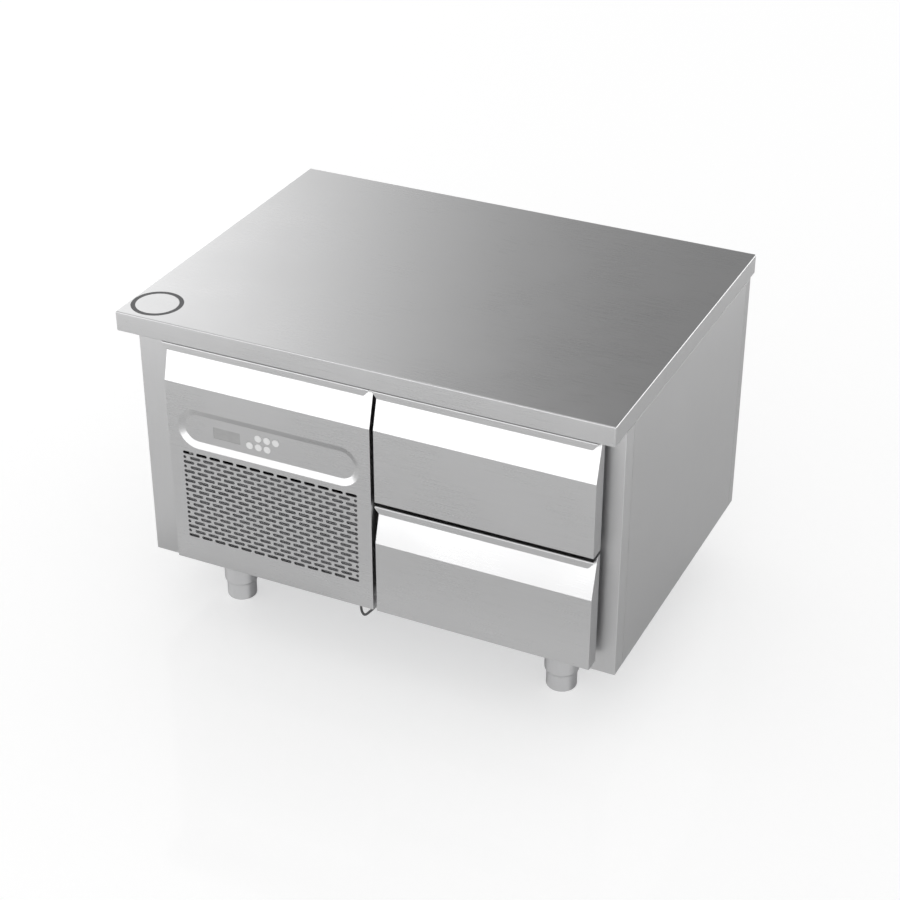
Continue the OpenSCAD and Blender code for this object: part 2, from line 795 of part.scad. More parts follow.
module service_panel_skin() {
    s = front_sheet;
    mid = [panel_mid, 0, recess_lift];
    color(steel) translate([panel_x0, front_y, fronts_z0]) difference() {
        union() {
            difference() {
                front_sheet_metal(fronts_h);
                translate(mid - [0, 1, 0]) obround_pan(recess_len, recess_h, 0, s + 2);
            }
            translate(mid) obround_pan(recess_len + 2 * s, recess_h + 2 * s, recess_border, recess_floor);
        }
        translate(mid - [0, 0.001, 0]) obround_pan(recess_len, recess_h, recess_border, recess_depth);
        translate([panel_mid - grille_w / 2, -1, grille_z0]) cube([grille_w, s + 2, grille_h]);
        translate(mid + [-display_left - display_w / 2, 0, display_up - display_h / 2])
            cube([display_w, recess_floor + 1, display_h]);
        for (p = button_at) translate(mid + [p[0], 0, p[1]]) rotate([-90, 0, 0])
            cylinder(h = recess_floor + 1, d = button_d + 2 * button_gap);
        hinge_bores(-1, fronts_h + 2, 1);
    }
}

// Moulded fillers in the panel's two ends. The left one holds the bushes of the hinge.
module service_panel_fillers() {
    s = front_sheet;
    color(dark_plastic) translate([panel_x0, front_y, fronts_z0]) {
        difference() {
            translate([s, 0, 0]) along_x(filler_w - s) filling_outline(fronts_h);
            for (z = [-1, fronts_h - s - hinge_pin_len - 1]) hinge_bores(z, hinge_pin_len + s + 2, 2 * pin_gap);
        }
        translate([front_w - filler_w, 0, 0]) along_x(filler_w - s) filling_outline(fronts_h);
    }
}

// The controller's housing sits on the back of the recess. Its bores guide the buttons.
module controller_housing() {
    w = 2 * display_left + display_w;
    h = recess_h - 2 * recess_border - 10;
    mid = [panel_x0 + panel_mid, front_y + recess_floor, fronts_z0 + recess_lift];
    color(dark_plastic) translate(mid) difference() {
        translate([-w / 2 - 4, 0, -h / 2]) cube([w + 8, housing_depth, h]);
        for (p = button_at) translate([p[0], -1, p[1]]) rotate([-90, 0, 0])
            cylinder(h = 7, d = button_d + 2 * button_gap);
        translate([-display_left - display_w / 2 + housing_wall, -1, display_up - display_h / 2 + housing_wall])
            cube([display_w - 2 * housing_wall, 4, display_h - 2 * housing_wall]);
    }
}

module display_window() {
    mid = [panel_x0 + panel_mid - display_left, front_y + recess_depth + 0.2, fronts_z0 + recess_lift + display_up];
    color(dark_plastic) translate(mid - [display_w / 2, 0, display_h / 2])
        cube([display_w, front_sheet - 0.2, display_h]);
}

// A push button with a rounded rim and a guide behind it
module push_button(i) {
    at = button_at[i - 1];
    r = button_d / 2;
    rim = 0.6;
    reach = button_proud + front_sheet + 4;
    color(pale_plastic)
        translate([panel_x0 + panel_mid + at[0], front_y + recess_depth - button_proud,
                   fronts_z0 + recess_lift + at[1]])
        rotate([-90, 0, 0]) rotate_extrude() {
            square([r - rim, reach]);
            translate([0, rim]) square([r, reach - rim]);
            intersection() {
                translate([r - rim, rim]) circle(rim);
                square([r, rim]);
            }
        }
}

// Hinge brackets on the left stile, with pins up and down into the service panel
module panel_hinges() {
    t = hinge_bracket_t;
    w = 2 * hinge_inset + 4;
    y0 = hinge_y - hinge_pin_d;
    low = fronts_z0 - 0.6;
    high = fronts_z0 + fronts_h + 0.6;
    x0 = hinge_x - w / 2;
    color(dark_steel) {
        block([x0, y0, low - t], [x0 + w, cab_y0, low]);
        block([x0, cab_y0 - t, low - 24], [x0 + w, cab_y0, low]);
        translate([hinge_x, hinge_y, low - t]) cylinder(h = t + 0.6 + hinge_pin_len, d = hinge_pin_d);
        block([x0, y0, high], [x0 + w, cab_y0, high + t]);
        translate([hinge_x, hinge_y, high - 0.6 - hinge_pin_len])
            cylinder(h = hinge_pin_len + 0.6 + t, d = hinge_pin_d);
    }
}

// Fixed sleeve of a leg: an outer tube tapered at its lower end, and an inner tube that takes the foot's stem
module leg_sleeve() {
    r = sleeve_d / 2;
    bore = stem_d / 2 + foot_play;
    z0 = foot_h;
    z_ring = z0 + sleeve_taper + 2;
    rotate_extrude() {
        polygon([
            [bore, z0], [foot_d / 2 + 0.6, z0], [r, z0 + sleeve_taper], [r, cab_z0], [r - sleeve_wall, cab_z0],
            [r - sleeve_wall, z_ring], [bore + sleeve_wall, z_ring], [bore + sleeve_wall, cab_z0 - 6], [bore, cab_z0 - 6]
        ]);
    }
}

module leg_sleeves() {
    color(steel) for (x = leg_x, y = leg_y) translate([x, y, 0]) leg_sleeve();
}

// Levelling foot: a disc with a rounded lower edge on a threaded stem
module foot(ix, iy) {
    r = foot_d / 2;
    e = foot_edge;
    color(steel) translate([leg_x[ix], leg_y[iy], 0]) rotate_extrude() {
        translate([0, e]) square([r, foot_h - foot_play - e]);
        square([r - e, e]);
        intersection() {
            translate([r - e, e]) circle(e);
            square([r, e]);
        }
        square([stem_d / 2, foot_h + stem_len]);
    }
}

// A pile of fins on a thin backbone, in X and Y, as one comb
module fin_comb(w, d) {
    count = floor((w - fin_t) / fin_pitch);
    step = (w - fin_t) / count;
    translate([0, d / 2 - fin_t / 2]) square([w, fin_t]);
    for (i = [0:count]) translate([i * step, 0]) square([fin_t, d]);
}

// A half turn of tube that joins two passes of a coil, its legs along X
module return_bend(r, d) {
    rotate([90, 0, 0]) rotate_extrude(angle = 180) translate([r, 0]) circle(d = d);
}

// A finned coil: comb, two end plates and the return bends outside them
module finned_coil(w, d, h, foot_z) {
    tube = 9;
    passes = floor(h / (4 * bend_r));
    linear_extrude(h) fin_comb(w, d);
    for (x = [-end_plate, w]) translate([x, 0, foot_z]) cube([end_plate, d, h - foot_z]);
    for (row = [0.3, 0.7], i = [0:passes - 1]) {
        z = (i + 0.5) * h / passes;
        translate([-end_plate, row * d, z]) rotate([0, -90, 0]) return_bend(bend_r, tube);
        translate([w + end_plate, row * d, z]) rotate([0, 90, 0]) return_bend(bend_r, tube);
    }
}

module condenser_coil() {
    color(fin_metal) translate([condenser_x0, condenser_y0, condenser_z0])
        finned_coil(condenser_w, condenser_t, condenser_h, floor_z - condenser_z0);
}

module evaporator_coil() {
    color(fin_metal) translate([evaporator_x0 + evaporator_t, evaporator_y1 - evaporator_len, evaporator_z0])
        rotate([0, 0, 90]) finned_coil(evaporator_len, evaporator_t, evaporator_h, liner_z0 - evaporator_z0);
}

// The shroud that guides the air from the condenser to its fan
module fan_shroud() {
    s = shroud_t;
    x0 = condenser_x0 - end_plate;
    x1 = condenser_x1 + end_plate;
    z1 = condenser_z0 + condenser_h;
    color(dark_steel) difference() {
        union() {
            difference() {
                block([x0, condenser_y1, condenser_z0], [x1, shroud_y1, z1]);
                block([x0 + s, condenser_y1 - 1, condenser_z0 + s], [x1 - s, shroud_y1 - s, z1 - s]);
            }
            translate([fan_x, shroud_y1 - s, fan_z]) rotate([-90, 0, 0]) cylinder(h = s + 14, r = fan_r + blade_gap + s);
        }
        translate([fan_x, shroud_y1 - s - 1, fan_z]) rotate([-90, 0, 0]) cylinder(h = s + 20, r = fan_r + blade_gap);
    }
}

// A fan motor that looks along +Z. Its shaft stands on Z = 0 and its three legs reach down to a plane.
module fan_motor(leg_r, reach) {
    leg = 6;
    translate([0, 0, -motor_len]) cylinder(h = motor_len - 6, d = motor_d);
    translate([0, 0, -8]) cylinder(h = 8, d = motor_d * 0.6);
    translate([0, 0, -2]) cylinder(h = 24, d = shaft_d);
    for (a = [90, 210, 330]) rotate(a) {
        translate([motor_d / 2 - 3, -leg / 2, -motor_len + 6]) cube([leg_r - motor_d / 2 + 3 + leg, leg, leg]);
        translate([leg_r, -leg / 2, -motor_len + 6]) cube([leg, leg, motor_len - 6 + reach]);
    }
}

module fan_motors() {
    color(dark_plastic) {
        translate([fan_x, shroud_y1 + motor_stand, fan_z]) rotate([90, 0, 0]) fan_motor(fan_r + 9, motor_stand);
        translate([cover_x0 - motor_stand, evaporator_fan_y, evaporator_fan_z]) rotate([0, 90, 0])
            fan_motor(evaporator_fan_r + 9, motor_stand);
    }
}

// A fan with five pitched blades, its hub on Z from 1 upwards
module fan(r) {
    hub_r = 20;
    hub_h = 20;
    blades = 5;
    pitch = 28;
    difference() {
        union() {
            translate([0, 0, 1]) cylinder(h = hub_h, r = hub_r);
            intersection() {
                translate([0, 0, 1]) cylinder(h = hub_h, r = r);
                for (i = [0:blades - 1]) rotate(i * 360 / blades) translate([hub_r - 4, 0, hub_h / 2 + 1])
                    rotate([90 - pitch, 0, 0]) translate([0, -hub_h, -0.9]) cube([r, 2 * hub_h, 1.8]);
            }
        }
        cylinder(h = hub_h + 4, d = shaft_d + 2 * pin_gap);
    }
}

module condenser_fan() {
    color(dark_plastic) translate([fan_x, shroud_y1 + motor_stand, fan_z]) rotate([90, 0, 0]) fan(fan_r);
}

module evaporator_fan() {
    color(dark_plastic) translate([cover_x0 - motor_stand, evaporator_fan_y, evaporator_fan_z])
        rotate([0, 90, 0]) fan(evaporator_fan_r);
}

// Hermetic compressor: a domed shell with a seam, a foot plate and a terminal cover
module compressor() {
    r = compressor_d / 2;
    dome = 42;
    z0 = floor_z + mount_h;
    plate = 3;
    color(dark_plastic) translate([compressor_x, compressor_y, z0]) {
        rotate_extrude() intersection() {
            square([r + 10, compressor_h + plate]);
            union() {
                translate([0, plate + dome]) square([r, compressor_h - 2 * dome]);
                translate([0, plate]) square([r - dome, compressor_h]);
                for (z = [plate + dome, plate + compressor_h - dome]) translate([r - dome, z]) circle(dome);
                translate([0, plate + compressor_h * 0.52]) square([r + 4, 5]);
            }
        }
        translate([-r * 0.95, -r * 0.8, 0]) cube([r * 1.9, r * 1.6, plate]);
        translate([-30, -r - 22, 50]) cube([60, 40, 55]);
    }
}

module compressor_mounts() {
    r = compressor_d / 2;
    color(rubber) for (x = [-1, 1], y = [-1, 1])
        translate([compressor_x + x * (r * 0.95 - 14), compressor_y + y * (r * 0.8 - 14), floor_z])
        difference() {
            union() {
                cylinder(h = mount_h, r = 10);
                cylinder(h = mount_h * 0.3, r = 13);
            }
            translate([0, 0, mount_h / 2]) cylinder(h = mount_h, r = 4);
        }
}

// A straight run of pipe between two points on a line along X, Y or Z
module pipe_run(a, b, d) {
    dir = (b - a) / norm(b - a);
    side = abs(dir[2]) > 0.5 ? [1, 0, 0] : [0, 0, 1];
    other = cross(dir, side);
    multmatrix([
        [side[0], other[0], dir[0], a[0]], [side[1], other[1], dir[1], a[1]], [side[2], other[2], dir[2], a[2]],
        [0, 0, 0, 1]
    ]) cylinder(h = norm(b - a), d = d, $fn = 24);
}

// A square bend of pipe at point p, from direction a into direction b
module pipe_bend(p, a, b, d, r) {
    c = p - r * a + r * b;
    up = cross(a, b);
    multmatrix([[-b[0], a[0], up[0], c[0]], [-b[1], a[1], up[1], c[1]], [-b[2], a[2], up[2], c[2]], [0, 0, 0, 1]])
        rotate_extrude(angle = 90, $fn = 48) translate([r, 0]) circle(d = d, $fn = 24);
}

// A pipe along points whose legs lie along X, Y or Z
module pipe(points, d, r) {
    n = len(points);
    dirs = [for (i = [0:n - 2]) (points[i + 1] - points[i]) / norm(points[i + 1] - points[i])];
    for (i = [0:n - 2])
        pipe_run(points[i] + (i > 0 ? r : 0) * dirs[i], points[i + 1] - (i < n - 2 ? r : 0) * dirs[i], d);
    for (i = [1:n - 2]) pipe_bend(points[i], dirs[i - 1], dirs[i], d, r);
}

// Discharge, liquid and suction pipes. The liquid pipe carries the filter drier.
module refrigerant_pipes() {
    r = 14;
    top = floor_z + mount_h + compressor_h + 3;
    high = condenser_z0 + condenser_h + 30;
    coil_top = condenser_z0 + condenser_h;
    coil_y = condenser_y0 + 0.5 * condenser_t;
    liquid_x = condenser_x1 - 20;
    suction_x = liquid_x - 32;
    into_cell = evaporator_x0;
    drier_len = 110;
    color(copper) {
        pipe([
            [compressor_x + 30, compressor_y, top], [compressor_x + 30, compressor_y, high],
            [compressor_x + 30, coil_y, high], [compressor_x + 30, coil_y, coil_top]
        ], 8, r);
        pipe([
            [liquid_x, coil_y, coil_top], [liquid_x, coil_y, port_z - 8], [liquid_x, port_y - 8, port_z - 8],
            [into_cell, port_y - 8, port_z - 8]
        ], 6, 10);
        translate([liquid_x, (coil_y + port_y - drier_len) / 2, port_z - 8]) rotate([-90, 0, 0])
            cylinder(h = drier_len, d = 22);
        pipe([
            [into_cell, port_y + 8, port_z + 8], [suction_x, port_y + 8, port_z + 8],
            [suction_x, compressor_y, port_z + 8], [compressor_x - 30, compressor_y, port_z + 8],
            [compressor_x - 30, compressor_y, top]
        ], 10, 16);
    }
}

module electrical_box() {
    d = 160;
    h = 150;
    y0 = compressor_y - 120;
    z0 = cab_z1 - 60 - h;
    color(pale_plastic) {
        block([tech_wall, y0, z0], [tech_wall + electrical_w - 6, y0 + d, z0 + h]);
        block([tech_wall + electrical_w - 6, y0 - 3, z0 - 3], [tech_wall + electrical_w, y0 + d + 3, z0 + h + 3]);
        for (i = [0:2]) translate([tech_wall + electrical_w / 2, y0 + 35 + 45 * i, z0 - 12]) cylinder(h = 12, r = 9);
    }
}

module condensate_tray() {
    s = 1.5;
    x0 = tech_wall + tray_gap;
    x1 = compressor_x - compressor_d / 2 - tray_gap;
    y0 = compressor_y - tray_d / 2;
    y1 = y0 + tray_d;
    color(dark_plastic) difference() {
        block([x0, y0, floor_z], [x1, y1, floor_z + tray_h]);
        block([x0 + s, y0 + s, floor_z + s], [x1 - s, y1 - s, floor_z + tray_h + 1]);
    }
}

// Rubber grommets that carry the lead through the bottom rail
module lead_grommets() {
    bore = lead_d + 2 * pin_gap;
    for (p = lead_ends) translate([p[0], lead_y, cab_z0]) difference() {
        union() {
            translate([0, 0, -2.5]) cylinder(h = 2.5, d = lead_d + 7);
            cylinder(h = frame_wall, d = lead_d + 4);
        }
        translate([0, 0, -4]) cylinder(h = 8, d = bore);
    }
}

// One ring of the lead's tube, square to its route
function lead_ring(i) =
    let (last = len(lead_points) - 1, a = lead_points[max(i - 1, 0)], b = lead_points[min(i + 1, last)])
    let (dir = (b - a) / norm(b - a), p = lead_points[i])
    [for (k = [0:lead_sides - 1]) let (t = 360 * k / lead_sides, u = lead_d / 2 * cos(t), v = lead_d / 2 * sin(t))
        [p[0] - u * dir[1], lead_y + v, p[1] + u * dir[0] + cab_z0]];

module lead_loop() {
    n = len(lead_points);
    m = lead_sides;
    points = [for (i = [0:n - 1]) each lead_ring(i)];
    first = [for (k = [0:m - 1]) m - 1 - k];
    last = [for (k = [0:m - 1]) (n - 1) * m + k];
    sides = [for (i = [0:n - 2], k = [0:m - 1]) let (a = i * m + k, b = i * m + (k + 1) % m) each
        [[a, b + m, a + m], [a, b, b + m]]];
    color(rubber) {
        polyhedron(points, concat([first, last], sides));
        lead_grommets();
    }
}

worktop();
worktop_board();
left_side_panel();
right_side_panel();
back_panel();
base_panel();
left_stile();
right_stile();
mullion();
bottom_rail();
top_rail();
cross_rail();
foam_insulation();
inner_liner();
partition();
evaporator_cover();
runner_uprights();
outer_runners();
compressor();
compressor_mounts();
condenser_coil();
fan_shroud();
fan_motors();
refrigerant_pipes();
electrical_box();
condensate_tray();
evaporator_coil();
leg_sleeves();
panel_hinges();
lead_loop();
drawer_front_skin(1);  // upper_front_skin
drawer_front_core(1);  // upper_front_core
gasket(1);  // upper_gasket
drawer_box(1);  // upper_drawer_box
inner_runners(1);  // upper_inner_runners
drawer_front_skin(0);  // lower_front_skin
drawer_front_core(0);  // lower_front_core
gasket(0);  // lower_gasket
drawer_box(0);  // lower_drawer_box
inner_runners(0);  // lower_inner_runners
mid_runners(1);  // upper_mid_runners
mid_runners(0);  // lower_mid_runners
service_panel_skin();
service_panel_fillers();
air_grille();
air_filter();
controller_housing();
display_window();
push_button(1);  // button_1
push_button(2);  // button_2
push_button(3);  // button_3
push_button(4);  // button_4
push_button(5);  // button_5
push_button(6);  // button_6
condenser_fan();
evaporator_fan();
foot(0, 0);  // foot_front_left
foot(1, 0);  // foot_front_right
foot(0, 1);  // foot_back_left
foot(1, 1);  // foot_back_right
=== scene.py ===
import json
import math

import bmesh
import bpy
from mathutils import Matrix, Vector
from mathutils.geometry import tessellate_polygon

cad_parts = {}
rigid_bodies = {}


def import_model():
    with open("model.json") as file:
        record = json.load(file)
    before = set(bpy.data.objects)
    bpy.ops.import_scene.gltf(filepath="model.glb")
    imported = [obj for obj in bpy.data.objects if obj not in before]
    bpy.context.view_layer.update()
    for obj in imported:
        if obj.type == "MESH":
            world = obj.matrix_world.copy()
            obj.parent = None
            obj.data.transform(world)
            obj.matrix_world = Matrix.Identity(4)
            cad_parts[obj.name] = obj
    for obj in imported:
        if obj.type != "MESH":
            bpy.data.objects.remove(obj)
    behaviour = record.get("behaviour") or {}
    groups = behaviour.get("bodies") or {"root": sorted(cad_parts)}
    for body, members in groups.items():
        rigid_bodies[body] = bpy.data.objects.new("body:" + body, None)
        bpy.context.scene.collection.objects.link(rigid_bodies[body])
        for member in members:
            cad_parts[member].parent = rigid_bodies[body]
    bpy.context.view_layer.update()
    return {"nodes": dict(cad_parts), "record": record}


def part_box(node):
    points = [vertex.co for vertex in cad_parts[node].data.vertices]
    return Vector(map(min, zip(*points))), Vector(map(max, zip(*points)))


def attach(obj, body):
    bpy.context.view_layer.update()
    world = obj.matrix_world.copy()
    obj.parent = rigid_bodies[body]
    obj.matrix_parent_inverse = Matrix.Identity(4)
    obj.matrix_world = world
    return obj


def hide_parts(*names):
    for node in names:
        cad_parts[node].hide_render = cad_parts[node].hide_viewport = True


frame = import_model()
cadNodes = frame["nodes"]
bodyOf = {node: body for body, members in frame["record"]["behaviour"]["bodies"].items() for node in members}
slotOf = {part["node"]: part["material_slot"] for part in frame["record"]["subparts"]}
pivots = {joint["name"]: joint["pos_m"] for joint in frame["record"]["behaviour"]["joints"] if "pos_m" in joint}
print("CAD frame loaded:", len(cadNodes), "nodes")


# Camera

camera = {"place": (1.5151, -3.1483, 2.393), "forward": (-0.36990, 0.77467, -0.51288), "lens": 81.1, "sensor": 36.0}

lens = bpy.data.cameras.new("photoCamera")
lens.lens = camera["lens"]
lens.sensor_width = camera["sensor"]
lens.clip_end = 60
eye = bpy.data.objects.new("photoCamera", lens)
eye.location = camera["place"]
eye.rotation_euler = Vector(camera["forward"]).to_track_quat("-Z", "Y").to_euler()
bpy.context.scene.collection.objects.link(eye)
bpy.context.scene.camera = eye


# Short ways to wire node trees

def addNode(tree, kind, inputs=None, **settings):  # a node with its settings, and its inputs as links or values
    node = tree.nodes.new(kind)
    for label, value in settings.items():
        setattr(node, label, value)
    for label, value in (inputs or {}).items():
        if isinstance(value, bpy.types.NodeSocket):
            tree.links.new(value, node.inputs[label])
        else:
            node.inputs[label].default_value = value
    return node


def maths(tree, operation, *values):
    return addNode(tree, "ShaderNodeMath", dict(enumerate(values)), operation=operation).outputs[0]


def ramped(tree, value, start, end, low=0.0, high=1.0, soft=False):  # a range of a value stretched over another
    return addNode(tree, "ShaderNodeMapRange", {"Value": value, "From Min": start, "From Max": end, "To Min": low,
                   "To Max": high}, interpolation_type="SMOOTHSTEP" if soft else "LINEAR").outputs["Result"]


def mixed(tree, share, a, b):  # two values blended
    inputs = {"Factor": share, "A": a, "B": b}
    return addNode(tree, "ShaderNodeMix", inputs, data_type="FLOAT").outputs["Result"]


# Finishes

class Finish:  # one material, with short ways to wire its nodes
    def __init__(self, name, colour, roughness, metallic=0.0, **fixed):
        self.material = bpy.data.materials.new(name)
        self.material.use_nodes = True
        self.tree = self.material.node_tree
        self.shader = self.tree.nodes["Principled BSDF"]
        fixed.update(Base_Color=(*colour, 1), Roughness=roughness, Metallic=metallic)
        for label, value in fixed.items():
            self.shader.inputs[label.replace("_", " ")].default_value = value

    def texture(self, kind, stretch, **inputs):  # on the object's own coordinates
        place = addNode(self.tree, "ShaderNodeTexCoord").outputs["Object"]
        mapping = addNode(self.tree, "ShaderNodeMapping", {"Vector": place, "Scale": stretch})
        return addNode(self.tree, kind, {"Vector": mapping.outputs["Vector"], **inputs}).outputs

    def noise(self, scale, detail=2.0, rough=0.5, stretch=(1, 1, 1)):
        return self.texture("ShaderNodeTexNoise", stretch, Scale=scale, Detail=detail, Roughness=rough)["Fac"]

    def cells(self, scale, output="Distance", stretch=(1, 1, 1)):
        return self.texture("ShaderNodeTexVoronoi", stretch, Scale=scale)[output]

    def chips(self, scale, stretch=(1, 1, 1)):  # random shares, the same all over one cell
        return addNode(self.tree, "ShaderNodeSeparateColor", {0: self.cells(scale, "Color", stretch)}).outputs

    def span(self, value, *limits):
        return ramped(self.tree, value, *limits)

    def link(self, socket, label):
        self.tree.links.new(socket, self.shader.inputs[label])

    def colour(self, share, a, b):  # the base colour, between two tones
        mix = addNode(self.tree, "ShaderNodeMix", {"Factor": share, "A": (*a, 1), "B": (*b, 1)}, data_type="RGBA")
        self.link([output for output in mix.outputs if output.type == "RGBA"][0], "Base Color")

    def gloss(self, share, low, high, smooth, rough):  # the roughness, between two values
        self.link(self.span(share, low, high, smooth, rough), "Roughness")

    def bump(self, height, depth, strength):
        bump = addNode(self.tree, "ShaderNodeBump", {"Strength": strength, "Distance": depth, "Height": height})
        self.link(bump.outputs["Normal"], "Normal")


def lighter(tone, gain, lift=0.0):  # the same colour, a little paler
    return tuple(min(c * gain + lift, 1) for c in tone)


steel = {"tone": (0.51, 0.51, 0.513), "grain": 1500.0, "length": 14.0, "smooth": 0.25, "spread": 0.05, "marks": 0.04,
         "depth": 0.00001, "strength": 0.13}


def satinSteel(name, along, tone=steel["tone"], smooth=steel["smooth"]):  # brushed sheet, its grain along one axis
    finish = Finish(name, tone, smooth, 1.0)
    stretch = [steel["length"] if axis == along else steel["grain"] for axis in "xyz"]
    grain = finish.noise(1.0, 3.0, 0.6, stretch)
    handling = finish.noise(5.0, 3.0, 0.55)
    rough = finish.span(grain, 0.3, 0.7, smooth, smooth + steel["spread"])
    marks = finish.span(handling, 0.35, 0.7, 0.0, steel["marks"])
    finish.link(maths(finish.tree, "ADD", rough, marks), "Roughness")
    finish.colour(finish.span(grain, 0.3, 0.7), tone, lighter(tone, 1.04))
    finish.bump(grain, steel["depth"], steel["strength"])
    return finish.material


def galvanisedSheet():  # zinc crystals of about a centimetre
    finish = Finish("galvanisedSheet", (0.52, 0.53, 0.55), 0.42, 1.0)
    crystals = finish.chips(95.0)
    finish.colour(crystals[0], (0.43, 0.44, 0.46), (0.60, 0.61, 0.63))
    finish.gloss(crystals[1], 0, 1, 0.34, 0.5)
    finish.bump(finish.noise(60.0), 0.00004, 0.5)
    return finish.material


def foamFill():  # sprayed foam: fine cells and a few blisters
    finish = Finish("foamFill", (0.78, 0.68, 0.42), 0.9)
    cell, patch = finish.cells(900.0), finish.noise(22.0, 4.0)
    finish.colour(finish.span(patch, 0.3, 0.7), (0.70, 0.58, 0.33), (0.85, 0.76, 0.52))
    finish.bump(maths(finish.tree, "ADD", cell, patch), 0.0008, 0.6)
    return finish.material


def boardCore():  # pressed fibre board
    finish = Finish("boardCore", (0.40, 0.29, 0.18), 0.85)
    finish.colour(finish.chips(420.0, (1, 1, 2.5))[0], (0.30, 0.21, 0.12), (0.50, 0.38, 0.25))
    finish.bump(finish.noise(700.0, 3.0), 0.0003, 0.5)
    return finish.material


def darkRubber(name, tone=(0.03, 0.03, 0.032)):  # matt rubber with a bloom of dust
    finish = Finish(name, tone, 0.7)
    dust = finish.noise(38.0, 5.0, 0.65)
    finish.colour(finish.span(dust, 0.4, 0.75), tone, lighter(tone, 1.6, 0.012))
    finish.gloss(dust, 0.3, 0.7, 0.6, 0.8)
    finish.bump(finish.noise(1600.0), 0.00008, 0.5)
    return finish.material


def finAluminium():  # thin rolled fins with a little dulling
    finish = Finish("finAluminium", (0.70, 0.71, 0.73), 0.34, 1.0)
    dull = finish.noise(35.0, 4.0, stretch=(1, 1, 6))
    finish.colour(finish.span(dull, 0.35, 0.7), (0.62, 0.63, 0.65), (0.77, 0.78, 0.80))
    finish.gloss(dull, 0.3, 0.7, 0.28, 0.44)
    return finish.material


def copperTube():  # drawn tube, darkened in patches by brazing and air
    finish = Finish("copperTube", (0.72, 0.38, 0.24), 0.28, 1.0)
    tarnish = finish.noise(28.0, 5.0, 0.6)
    finish.colour(finish.span(tarnish, 0.42, 0.72), (0.76, 0.42, 0.27), (0.36, 0.19, 0.13))
    finish.gloss(tarnish, 0.35, 0.75, 0.2, 0.5)
    finish.bump(finish.noise(240.0), 0.00003, 0.4)
    return finish.material


def paintedShell(name, tone, gloss):  # enamel with a slight orange peel
    finish = Finish(name, tone, gloss, 0.0, Coat_Weight=0.3, Coat_Roughness=0.2)
    patch = finish.noise(24.0, 4.0)
    finish.colour(finish.span(patch, 0.35, 0.7), tone, lighter(tone, 1.35, 0.006))
    finish.gloss(patch, 0.3, 0.7, gloss - 0.05, gloss + 0.1)
    finish.bump(finish.noise(420.0), 0.00012, 0.35)
    return finish.material


def mouldedPlastic(name, tone, gloss, texture=0.00006):  # fine spark-eroded texture
    finish = Finish(name, tone, gloss)
    patch = finish.noise(30.0, 3.0)
    finish.colour(finish.span(patch, 0.35, 0.7), tone, lighter(tone, 1.1, 0.004))
    finish.gloss(patch, 0.3, 0.7, gloss - 0.04, gloss + 0.06)
    finish.bump(finish.noise(1900.0), texture, 0.5)
    return finish.material


def displayGlass():  # smoked window with faint cleaning marks
    finish = Finish("displayGlass", (0.38, 0.38, 0.38), 0.12, 0.0, Coat_Weight=0.5, Coat_Roughness=0.05)
    marks = finish.noise(90.0, 4.0, stretch=(1, 1, 3))
    finish.colour(finish.span(marks, 0.35, 0.7), (0.365, 0.365, 0.365), (0.40, 0.40, 0.40))
    finish.gloss(marks, 0.4, 0.8, 0.08, 0.22)
    return finish.material


finishes = {
    "sheetAlongX": satinSteel("satinSteelAlongX", "x"),
    "sheetAlongZ": satinSteel("satinSteelAlongZ", "z", smooth=0.34),
    "sideSheet": satinSteel("sideSheet", "z", smooth=0.30),
    "cellSteel": satinSteel("cellSteel", "y", (0.56, 0.56, 0.57), 0.30),
    "footSteel": satinSteel("footSteel", "z", (0.52, 0.52, 0.525), 0.42),
    "galvanised": galvanisedSheet(),
    "foam": foamFill(),
    "board": boardCore(),
    "rubber": darkRubber("mountRubber"),
    "leadRubber": darkRubber("leadRubber", (0.06, 0.06, 0.062)),
    "gasket": darkRubber("gasketRubber", (0.19, 0.19, 0.20)),
    "fins": finAluminium(),
    "copper": copperTube(),
    "shell": paintedShell("shellEnamel", (0.018, 0.018, 0.02), 0.34),
    "blackSheet": paintedShell("blackSheetPaint", (0.03, 0.03, 0.033), 0.42),
    "blackPlastic": mouldedPlastic("blackPlastic", (0.03, 0.03, 0.033), 0.5),
    "greyPlastic": mouldedPlastic("greyPlastic", (0.46, 0.46, 0.45), 0.5),
    "keyPlastic": mouldedPlastic("keyPlastic", (0.755, 0.755, 0.755), 0.42, 0.00002),
    "display": displayGlass(),
    "filter": mouldedPlastic("filterWire", (0.42, 0.42, 0.43), 0.6),
    "ringInk": mouldedPlastic("ringInk", (0.085, 0.085, 0.088), 0.55, 0.00002),
    "screw": satinSteel("screwSteel", "x", (0.55, 0.55, 0.56), 0.2),
}
print("Finishes made:", len(finishes))


# Ways to make pieces

smoothAngle = 50
weightedFrom = 30
edges = {"merge": 2e-6, "flat": 0.3, "foldAngle": 9, "foldBreadth": 2.4, "foldLength": 2, "cutAngle": 50}


def meshFrom(name, bm):  # a mesh from a bmesh, which it frees
    mesh = bpy.data.meshes.new(name)
    bm.to_mesh(mesh)
    bm.free()
    return mesh


def placed(name, mesh):  # an object in the scene
    piece = bpy.data.objects.new(name, mesh)
    bpy.context.scene.collection.objects.link(piece)
    return piece


def meshPiece(name, bm, material, angle=smoothAngle):
    bm.normal_update()
    return smoothPiece(name, meshFrom(name, bm), material, angle)


def smoothPiece(name, mesh, material, angle=smoothAngle):  # weighted normals keep flat sheet flat beside its bends
    mesh.materials.clear()
    mesh.materials.append(material)
    mesh.polygons.foreach_set("use_smooth", [True] * len(mesh.polygons))
    mesh.set_sharp_from_angle(angle=math.radians(angle))
    draft = placed(name + "Draft", mesh)
    if angle >= weightedFrom:
        draft.modifiers.new("normals", "WEIGHTED_NORMAL").keep_sharp = True
    piece = placed(name, bakedMesh(draft, name))
    bpy.data.objects.remove(draft)
    return piece


